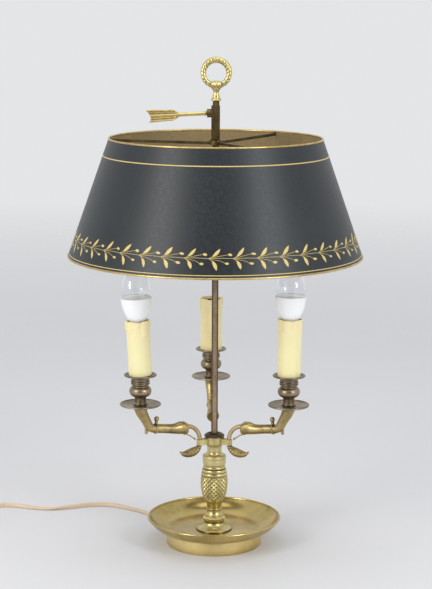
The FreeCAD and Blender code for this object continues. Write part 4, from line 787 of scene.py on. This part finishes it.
def column():
    """The column's turned pieces, from the dish up. Every outline starts at its own foot."""
    bell = [(BORE, 0), (20.6, 0), (20.6, 1.3), (18.4, 2.5), (14.4, 4.5, 11.8, 8.2), (BORE, 8.2)]
    bead = [(BORE, 0), (11.1, 0), (11.1, 1.0), (12.2, 1.6), (12.8, 2.7), (13.0, 4.0), (12.8, 5.3),
            (12.2, 6.4), (11.1, 7.0), (10.6, 7.6), (10.6, 8.8), (BORE, 8.8)]
    waist = [(BORE, 0), (10.6, 0), (8.65, 3.2, 8.2, 6.4), (9.2, 7.4, 8.2, 8.4), (8.6, 11.6, 10.4, 16.8),
             (11.4, 18.1, 10.4, 19.4), (BORE, 19.4)]
    side = arc_points((PINEAPPLE_FOOT_R, 0), (15.4, 14.25), (14.9, PINEAPPLE_HEIGHT), 110)
    pineapple = [(BORE, 0), (PINEAPPLE_FOOT_R, 0), *map(tuple, side), (BORE, PINEAPPLE_HEIGHT)]
    collar = [(BORE, 0), (14.3, 0), (14.8, 2, 14.3, 4), (13.6, 4), (14.1, 6, 13.6, 8), (11.9, 8),
              (12.9, 9.9, 11.9, 11.8), (11.9, 13.4), (12.7, 13.4), (13.2, 13.9), (13.2, 20.5), (13.6, 21.0),
              (13.6, 23.6), (13.1, 24.1), (BORE, 24.1)]
    cap = [(0, 0), (11.6, 0), (11.6, 0.9), (9.3, 2.9, 5.4, 3.6), (0, 3.6)]
    for name, node, outline, settings, sharp in (
            ("bell", "column_bell", bell, {}, 40),
            ("milled_bead", "milled_ring", bead, {"turns": 416, "ease": 0.15, "shape": milling}, 50),
            ("waist", "column_waist", waist, {}, 40),
            ("pineapple", "pineapple_body", pineapple, {"turns": 360, "ease": 0.1, "shape": diamonds}, 60),
            ("collar", "column_collar", collar, {}, 40),
            ("cap", "rod_cap", cap, {}, 40)):
        look = "cap_brass" if name == "cap" else "column_brass"
        slot = {"bell": "dish_brass", "cap": "cup_brass"}.get(name, "column_brass")
        shape = Shape().grid(turned(outline, low_z(node), **settings))
        shape.piece(name, look, slot=slot, stands_for=[node], sharp=sharp)


# Finial
FINIAL_Z = 510.0
WREATH_UP = 30.6
WREATH_R = 14.3
WREATH_SCALES = 11


def lobes(angle, r, z):
    """Leaf lobes on the finial's cup."""
    depth, pairs = 0.09, 4
    swell = smooth_step(z, 12.0, 16.0)
    return r * (1 - depth * swell * abs(math.sin(angle * pairs)) ** 2), z


def finial():
    """A turned and lobed cup that holds a wreath of overlapping scales."""
    cup = [(0, -8), (2, -8), (2, 0), (5.9, 0), (5.9, 1.2), (4.5, 3.1, 4.0, 5.6), (3.1, 8.2, 4.0, 12.0),
           (6.4, 15.0, 7.4, 18.4), (5.5, 21.1, 3.0, 21.9), (0, 21.9)]
    shape = Shape().grid(turned(cup, FINIAL_Z, turns=128, shape=lobes))
    centre = Vector((0, 0, FINIAL_Z + WREATH_UP))
    steps, sides = 224, 28
    rows = []
    for angle in around(steps):
        out = Vector((math.sin(angle), 0, math.cos(angle)))
        side = 1 if angle < math.pi else -1
        row = []
        for turn in around(sides):
            scale = abs(math.sin(angle * WREATH_SCALES + side * turn)) ** 0.7
            thick = 2.85 + 0.25 * math.cos(angle) + 0.5 * scale
            from_middle = WREATH_R + thick * math.cos(turn)
            row.append(centre + out * from_middle + Vector((0, thick * math.sin(turn), 0)))
        rows.append(row)
    shape.grid(rows)
    shape.piece("finial_wreath", "finial_brass", slot="finial_brass", stands_for=["finial"], sharp=50)


# Shade
SHADE_TOP_Z = 468.0
SHADE_LOW_Z = 336.8
SHADE_TOP_R = 119.3
SHADE_LOW_R = 165.4
SHADE_HALF = 0.3
RIM_WIRE_R = 1.1
SHADE_TURNS = 288
SHADE_LEVELS = 24
SLOPE = math.atan2(SHADE_LOW_R - SHADE_TOP_R, SHADE_TOP_Z - SHADE_LOW_Z)


def cone_r(z):
    """The shade's middle radius at a height."""
    return SHADE_LOW_R + (SHADE_TOP_R - SHADE_LOW_R) * (z - SHADE_LOW_Z) / (SHADE_TOP_Z - SHADE_LOW_Z)


def on_cone(angle, z, lift):
    """A point at an angle and a height, lifted off the cone's outer face."""
    off = SHADE_HALF + lift
    return polar(cone_r(z) + off * math.cos(SLOPE), angle, z + off * math.sin(SLOPE))


def shade_shell():
    """A thin cone between the rim wires, painted differently inside and out."""
    rows = []
    tall = SHADE_TOP_Z - SHADE_LOW_Z - 2 * RIM_WIRE_R
    levels = [SHADE_LOW_Z + RIM_WIRE_R + tall * k / SHADE_LEVELS for k in range(SHADE_LEVELS + 1)]
    for angle in around(SHADE_TURNS):
        outer = [on_cone(angle, z, 0) for z in levels]
        inner = [on_cone(angle, z, -2 * SHADE_HALF) for z in reversed(levels)]
        rows.append(outer + inner)
    made = Shape().grid(rows).piece(
        "shade", ["shade_outside", "shade_inside"], "shade", slot="shade_paint", stands_for=["shade_shell"])
    for face in made.data.polygons:
        face.material_index = 0 if face.normal.xy.dot(face.center.xy) > 0 else 1


def gold_band(shape, z, width):
    """A painted line round the cone, a little proud of it with sunk edges."""
    proud, sunk = 0.12, -0.05
    rows = []
    for angle in around(SHADE_TURNS):
        rows.append([on_cone(angle, z - width / 2, sunk), on_cone(angle, z - width * 0.35, proud),
                     on_cone(angle, z + width * 0.35, proud), on_cone(angle, z + width / 2, sunk)])
    shape.grid(rows)


def shade_lines():
    shape = Shape()
    for r, z in ((SHADE_TOP_R, SHADE_TOP_Z), (SHADE_LOW_R, SHADE_LOW_Z)):
        shape.grid(turned(round_bar(r, z, RIM_WIRE_R), turns=SHADE_TURNS, ease=0))
    shape.piece("shade_rims", "rim_gold", "shade", slot="rim_gold", stands_for=["shade_rim_wires"])
    shape = Shape()
    for z, width in ((449.4, 1.2), (340.0, 0.9)):
        gold_band(shape, z, width)
    shape.piece("shade_lines", "gilt", "shade", slot="rim_gold", sharp=60)


GARLAND_Z = 356.9
GARLAND_UNITS = 39
GARLAND_START = math.radians(-92.3)
PAINT_LIFT = 0.2
# A brush stroke's cross-section: share of its half width, and height over the cone
STROKE = [(-1, -0.08), (-1, 0.03), (-0.6, PAINT_LIFT * 0.8), (0, PAINT_LIFT), (0.6, PAINT_LIFT * 0.8),
          (1, 0.03), (1, -0.08)]
STEM_HALF = 0.22
TWIG_HALF = 0.2
STALK_HALF = 0.28
LEAF_STEPS = 14
TWIG_STEPS = 8
# Where along a berry its outline is drawn, from end to end
BERRY_STEPS = (-1, -0.92, -0.7, -0.35, 0, 0.35, 0.7, 0.92, 1)


def stroke(shape, angle, path, half_widths):
    """A raised brush stroke on the cone. path holds (along, up) in millimetres from the unit's node."""
    ring_r = cone_r(GARLAND_Z)
    rows = []
    for index, (along, up) in enumerate(path):
        before, after = path[max(0, index - 1)], path[min(len(path) - 1, index + 1)]
        ahead = Vector((after[0] - before[0], after[1] - before[1])).normalized()
        half = half_widths[index]
        row = []
        for side, lift in STROKE:
            s = along - ahead.y * half * side
            t = up + ahead.x * half * side
            row.append(on_cone(angle + s / ring_r, GARLAND_Z + t * math.cos(SLOPE), lift))
        rows.append(row)
    shape.grid(rows, loop=False, caps=True)


def curve_path(start, bend, end, steps):
    """Points of a one-bend curve from start to end."""
    path = []
    for k in range(steps + 1):
        t = k / steps
        shares = ((1 - t) ** 2, 2 * t * (1 - t), t * t)
        path.append(tuple(sum(p * s for p, s in zip(ends, shares)) for ends in zip(start, bend, end)))
    return path


def garland():
    """Laurel round the shade's foot: at each node two leaves, with berries on fine branches."""
    shape = Shape()
    step = TAU / GARLAND_UNITS
    gap = step * cone_r(GARLAND_Z)

    def wobble(size):
        return chance.uniform(-size, size)

    for k in range(GARLAND_UNITS):
        angle = GARLAND_START + k * step
        tip_a = (11.8 + wobble(0.8), 11.0 + wobble(0.8))
        tip_b = (7.4 + wobble(0.7), -11.9 + wobble(0.7))
        for tip, bend, widest in ((tip_a, (6.0 + wobble(0.5), 2.4), 1.5 + wobble(0.2)),
                                  (tip_b, (6.4 + wobble(0.5), -3.0), 1.55 + wobble(0.2))):
            path = curve_path((-0.6, 0.3), bend, tip, LEAF_STEPS)
            halves = []
            for j in range(LEAF_STEPS + 1):
                t = j / LEAF_STEPS
                blade = max(0.0, (t - 0.3) / 0.7)
                if 0 < blade < 1:
                    halves.append(STALK_HALF + widest * math.sin(math.pi * blade ** 1.1) ** 0.9)
                else:
                    halves.append(STALK_HALF * (1.05 - t))
            stroke(shape, angle, path, halves)
        for berry in ((-3.9 + wobble(0.5), 4.5 + wobble(0.4)), (-7.2 + wobble(0.6), -5.2 + wobble(0.4))):
            length, tall = 2.3 + wobble(0.3), 1.3 + wobble(0.15)
            tilt = -0.12 + wobble(0.12)
            path = [(berry[0] + length * c * math.cos(tilt), berry[1] + length * c * math.sin(tilt))
                    for c in BERRY_STEPS]
            halves = [tall * max(0.08, math.sqrt(max(0.0, 1 - c * c))) for c in BERRY_STEPS]
            stroke(shape, angle, path, halves)
            root = (-gap + 1.5, 0.6 if berry[1] > 0 else -0.8)
            bend = (-gap * 0.5, berry[1] * (0.75 if berry[1] > 0 else 0.3))
            twig = curve_path(root, bend, (berry[0] - length * 0.8, berry[1]), TWIG_STEPS)
            stroke(shape, angle, twig, [TWIG_HALF] * len(twig))
        stem = curve_path((-gap, 0), (-gap * 0.5, 1.2 + wobble(0.4)), (0, 0), TWIG_STEPS)
        stroke(shape, angle, stem, [STEM_HALF] * len(stem))
    shape.piece("garland", "gilt", "shade", slot="rim_gold", sharp=60)


# Arrow
ARROW_AT = (-5.23, 0, 496.1)
ARROW_TILT = math.radians(3.2)
# Where the feathered end stops, from its lower edge to its upper one
ARROW_ENDS = [(-1.0, 69.9), (-0.8, 68.4), (-0.42, 66.9), (-0.15, 67.9), (0.4, 69.3), (1.0, 73.0)]


def arrow_place():
    """From along X to the arrow's own line, on its screw's axis."""
    turned_round = Matrix.Rotation(math.pi, 4, "Z")
    return Matrix.Translation(ARROW_AT) @ turned_round @ Matrix.Rotation(ARROW_TILT, 4, "Y")


def arrow():
    """The thumbscrew: a turned shaft that flattens into a feathered end with ribs and barbs."""
    place = arrow_place()
    along_x = place @ Matrix.Rotation(math.pi / 2, 4, "Y")
    shape = Shape()
    shaft = [(0, -0.2), (1.4, -0.2), (2.25, 0.2), (2.25, 5.4), (2.5, 6.2), (2.5, 7.6), (2.2, 8.3), (2.1, 37),
             (0, 37)]
    shape.grid(turned(shaft, turns=48, ease=0.2), place=along_x)
    steps, sides, start = 96, 33, 34.5
    rows = []
    for k in range(steps + 1):
        share = k / steps
        across = []
        for j in range(sides):
            v = -1 + 2 * j / (sides - 1)
            end = looked_up(ARROW_ENDS, v, soft=False)
            x = start + (end - start) * share
            open_up = smooth_step(x, 35.0, 44.5) ** 0.7
            half = 2.0 + (4.3 + 0.9 * smooth_step(x, 44, 73)) * open_up
            thick = 0.75 + 0.85 * math.exp(-(v / 0.15) ** 2) + 0.55 * math.exp(-((abs(v) - 0.86) / 0.13) ** 2)
            thick += 0.35 * math.exp(-((abs(v) - 0.45) / 0.12) ** 2)
            barb = abs(math.sin(math.pi * (x / 1.7 + abs(v) * 2.6)))
            thick -= 0.22 * barb * smooth_step(x, 42, 46) * (1 - math.exp(-(v / 0.2) ** 2))
            root = 1 - smooth_step(x, 36, 43)
            thick = max(0.3, thick * (1 - root) + root * math.sqrt(max(0.05, 1 - v * v)) * 2.0)
            edge = min(1.0, (1 - abs(v)) * 8 + 0.25)
            across.append((x, half * v, thick * edge))
        rows.append([Vector((x, thick, z)) for x, z, thick in across]
                    + [Vector((x, -thick, z)) for x, z, thick in reversed(across)])
    shape.grid(rows, loop=False, caps=True, place=place)
    shape.piece("arrow", "arrow_brass", "arrow", slot="arrow_brass", stands_for=["arrow_screw"], sharp=50)
    bead = [(2.6, -0.2), (3.6, -0.2), (4.4, 1.6, 3.9, 3.6), (3.4, 4.6, 2.6, 4.9)]
    shape = Shape().grid(turned(bead, turns=64, ease=0.2), place=along_x)
    shape.piece("boss_bead", "spider_brass", "shade", slot="spider_brass")


# Leaf under each bracket: (out, up, half width, half thickness) along its midrib, from its root
LEAF_ROOT = (18.5, 117.6)
LEAF = [(0.0, 0.0, 2.0, 1.8), (3.2, -3.6, 4.2, 3.2), (8.6, -6.4, 6.7, 4.5), (15.0, -7.9, 6.4, 4.3),
        (21.0, -7.9, 3.9, 2.8), (24.6, -6.2, 1.9, 1.4), (26.9, -3.9, 0.5, 0.4)]
LEAF_VEINS = 9
LEAF_SIDES = 48


def leaf(side):
    """A cast leaf: full body, raised midrib, slanting veins, notched edge and a tip that turns up."""
    line = spline_line([entry[:2] + (0,) for entry in LEAF], 12)
    sizes = spline_line([entry[2:] + (0,) for entry in LEAF], 12)
    rows = []
    for index, (point, size) in enumerate(zip(line, sizes)):
        ahead = (line[min(len(line) - 1, index + 1)] - line[max(0, index - 1)]).normalized()
        share = index / (len(line) - 1)
        row = []
        for turn in around(LEAF_SIDES):
            c, s = math.cos(turn), math.sin(turn)
            vein = abs(math.sin(math.pi * (share * LEAF_VEINS + abs(c) * 1.8)))
            notch = 1 + 0.05 * math.sin(TAU * share * LEAF_VEINS) * abs(c) ** 4
            rib = 0.55 * math.exp(-(c / 0.16) ** 2) - 0.3 * math.exp(-((abs(c) - 0.33) / 0.14) ** 2)
            carved = (rib - 0.28 * (1 - vein) * (abs(c) < 0.9)) * min(1.0, size.y / 3) * (abs(s) > 0.05)
            thick = s * size.y * (1 - 0.12 * c * c) + math.copysign(carved, s)
            out, up = point.x - ahead.y * thick, point.y + ahead.x * thick
            row.append(Vector((LEAF_ROOT[0] + out, size.x * c * notch, LEAF_ROOT[1] + up)))
        rows.append(row)
    Shape().grid(rows, loop=False, caps=True, place=arm_place(side)).piece(
        "leaf_" + side, "arm_brass", slot="arm_brass", stands_for=["arm_leaf_" + side], sharp=60)


# Cups, pans, candles and bulbs
def cups():
    """Each arm's candle cup, with its knop, beads and flange, and the drip pan under it."""
    cup_low, pan_low = low_z("candle_cup_back"), low_z("drip_pan_back")
    neck, beads_z, bead, pan_r = 9.9, 23.4, 0.8, 22.0
    cup = [(BORE, 0), (7.0, 0), (7.8, 0.8, 7.0, 1.6), (6.2, 2.4), (6.2, 7.2), (7.0, 8.8, 7.8, 9.6),
           (12.4, 14.7, 9.1, 21.0), (9.1, 21.8), (neck, beads_z)]
    for k in range(2):
        z = beads_z + 3 * bead * k
        cup += [(neck + bead, z + bead, neck, z + 2 * bead), (neck, z + 3 * bead)]
    cup += [(neck, 30.8), (13.4, 31.6, 17.7, 32.9), (18.25, 33.7, 17.6, 34.6), (13.4, 34.1), (13.4, 33.6),
            (BORE, 33.6)]
    pan = [(BORE, 0), (8.2, 0), (15.1, 0.4, pan_r, 1.4), (pan_r, 2.6), (15.1, 1.6, 9.4, 1.2), (8.2, 1.6),
           (BORE, 1.6)]
    for side in ARMS:
        place = riser_place(side)
        Shape().grid(turned(cup, cup_low), place=place).piece(
            "cup_" + side, "cup_brass", slot="cup_brass", stands_for=["candle_cup_" + side])
        shape = Shape().grid(turned(pan, pan_low), place=place)
        shape.grid(turned(round_bar(pan_r, 2.0, 1.1), pan_low, ease=0), place=place)
        shape.piece("pan_" + side, "pan_brass", slot="cup_brass", stands_for=["drip_pan_" + side])


SLEEVE_R = 12.95
SLEEVE_BORE_R = 12.1
SLEEVE_TURNS = 192
SLEEVE_STEPS = 48
DRIP_FULLNESS = 1.35
# Wax drips of each sleeve: angle in degrees from outwards, half width in degrees, length, bulge
DRIPS = {
    "left": [(20, 17, 13, 0.7), (62, 12, 7, 0.5), (100, 20, 17, 0.8), (150, 15, 9, 0.6), (205, 18, 14, 0.7),
             (250, 11, 6, 0.6), (285, 16, 19, 0.8), (330, 14, 10, 0.6)],
    "right": [(5, 14, 8, 0.5), (50, 16, 15, 0.7), (92, 12, 6, 0.5), (135, 18, 12, 0.7), (190, 14, 18, 0.7),
              (232, 12, 7, 0.5), (275, 19, 13, 0.7), (325, 14, 9, 0.6)],
    "back": [(0, 18, 16, 0.7), (48, 13, 8, 0.5), (95, 15, 12, 0.6), (140, 16, 20, 0.8), (190, 19, 11, 0.6),
             (238, 12, 15, 0.7), (280, 15, 9, 0.7), (322, 14, 17, 0.7)],
}


def candle_sleeve(side):
    """Candle sleeve with moulded drips: a wavy lip and runs that end in beads."""
    height = SLEEVE_HEIGHT + SLEEVE_EXTRA[side]
    drips = [(math.radians(a), math.radians(w), length, bulge) for a, w, length, bulge in DRIPS[side]]

    def swell(angle, below):
        total = 0.0
        for centre, half, length, bulge in drips:
            off = abs((angle - centre + math.pi) % TAU - math.pi) / half
            if off >= 1:
                continue
            run = 1 - smooth_step(below, length - 1.5, length + 0.6)
            bead = 0.5 * math.exp(-((below - length + 1.8) / 1.6) ** 2)
            total = max(total, DRIP_FULLNESS * bulge * (math.cos(off * math.pi / 2) ** 0.8) * (run + bead))
        return total

    rows = []
    for angle in around(SLEEVE_TURNS):
        lip = 0.7 + 0.5 * math.sin(3 * angle + len(side)) + 0.4 * math.sin(7 * angle)
        top = height - max(0.0, lip - swell(angle, 0))
        row = []
        for j in range(SLEEVE_STEPS + 1):
            z = top * (j / SLEEVE_STEPS) ** 0.9
            below = height - z
            r = SLEEVE_R + 0.35 * smooth_step(z, 30, 62) + swell(angle, below)
            row.append((r, z))
        outer = row[-1][0]
        row += [(outer - 0.25, top + 0.28), (outer - 0.8, top + 0.36), (SLEEVE_BORE_R + 0.1, top - 0.1)]
        row += [(SLEEVE_BORE_R, top - 2 - 8 * j) for j in range(4)] + [(SLEEVE_BORE_R, 0)]
        rows.append([polar(r, angle, z) for r, z in row])
    shape = Shape().grid(rows, place=candle_place(side))
    wax("wax_" + side, len(side) * 3.7)
    shape.piece("sleeve_" + side, "wax_" + side, slot="sleeve_wax", stands_for=["candle_sleeve_" + side],
                sharp=60)


def bulb(side):
    """A white bowl under a clear dome, which is drawn up its outside and down its inside."""
    low = 59.55 + SLEEVE_EXTRA[side]
    bowl_height, gap = 28.6, 0.05
    place = candle_place(side)
    bowl = [(0, 0), (8.7, 0), (8.7, 1.2), (15.4, 14.9, 17.7, 28.2), (17.5, bowl_height), (0, bowl_height)]
    Shape().grid(turned(bowl, low), place=place).piece(
        "bulb_bowl_" + side, "bulb_white", slot="bulb_white", stands_for=["bulb_body_" + side])
    dome = [(16.2, 0), (17.2, 0), (15.3, 15.53, 9.73, 30.14), (5.68, 34.42, 0, 36), (0, 35),
            (5.16, 33.57, 8.84, 29.67), (14.33, 15.29, 16.2, 0)]
    Shape().grid(turned(dome, low + bowl_height + gap, ease=0.2), place=place).piece(
        "bulb_glass_" + side, "clear_glass", slot="bulb_glass", stands_for=["bulb_globe_" + side])


dish()
foot()
column()
finial()
shade_shell()
shade_lines()
garland()
arrow()
cups()
for side in ARMS:
    leaf(side)
    candle_sleeve(side)
for side in ("left", "right"):
    bulb(side)
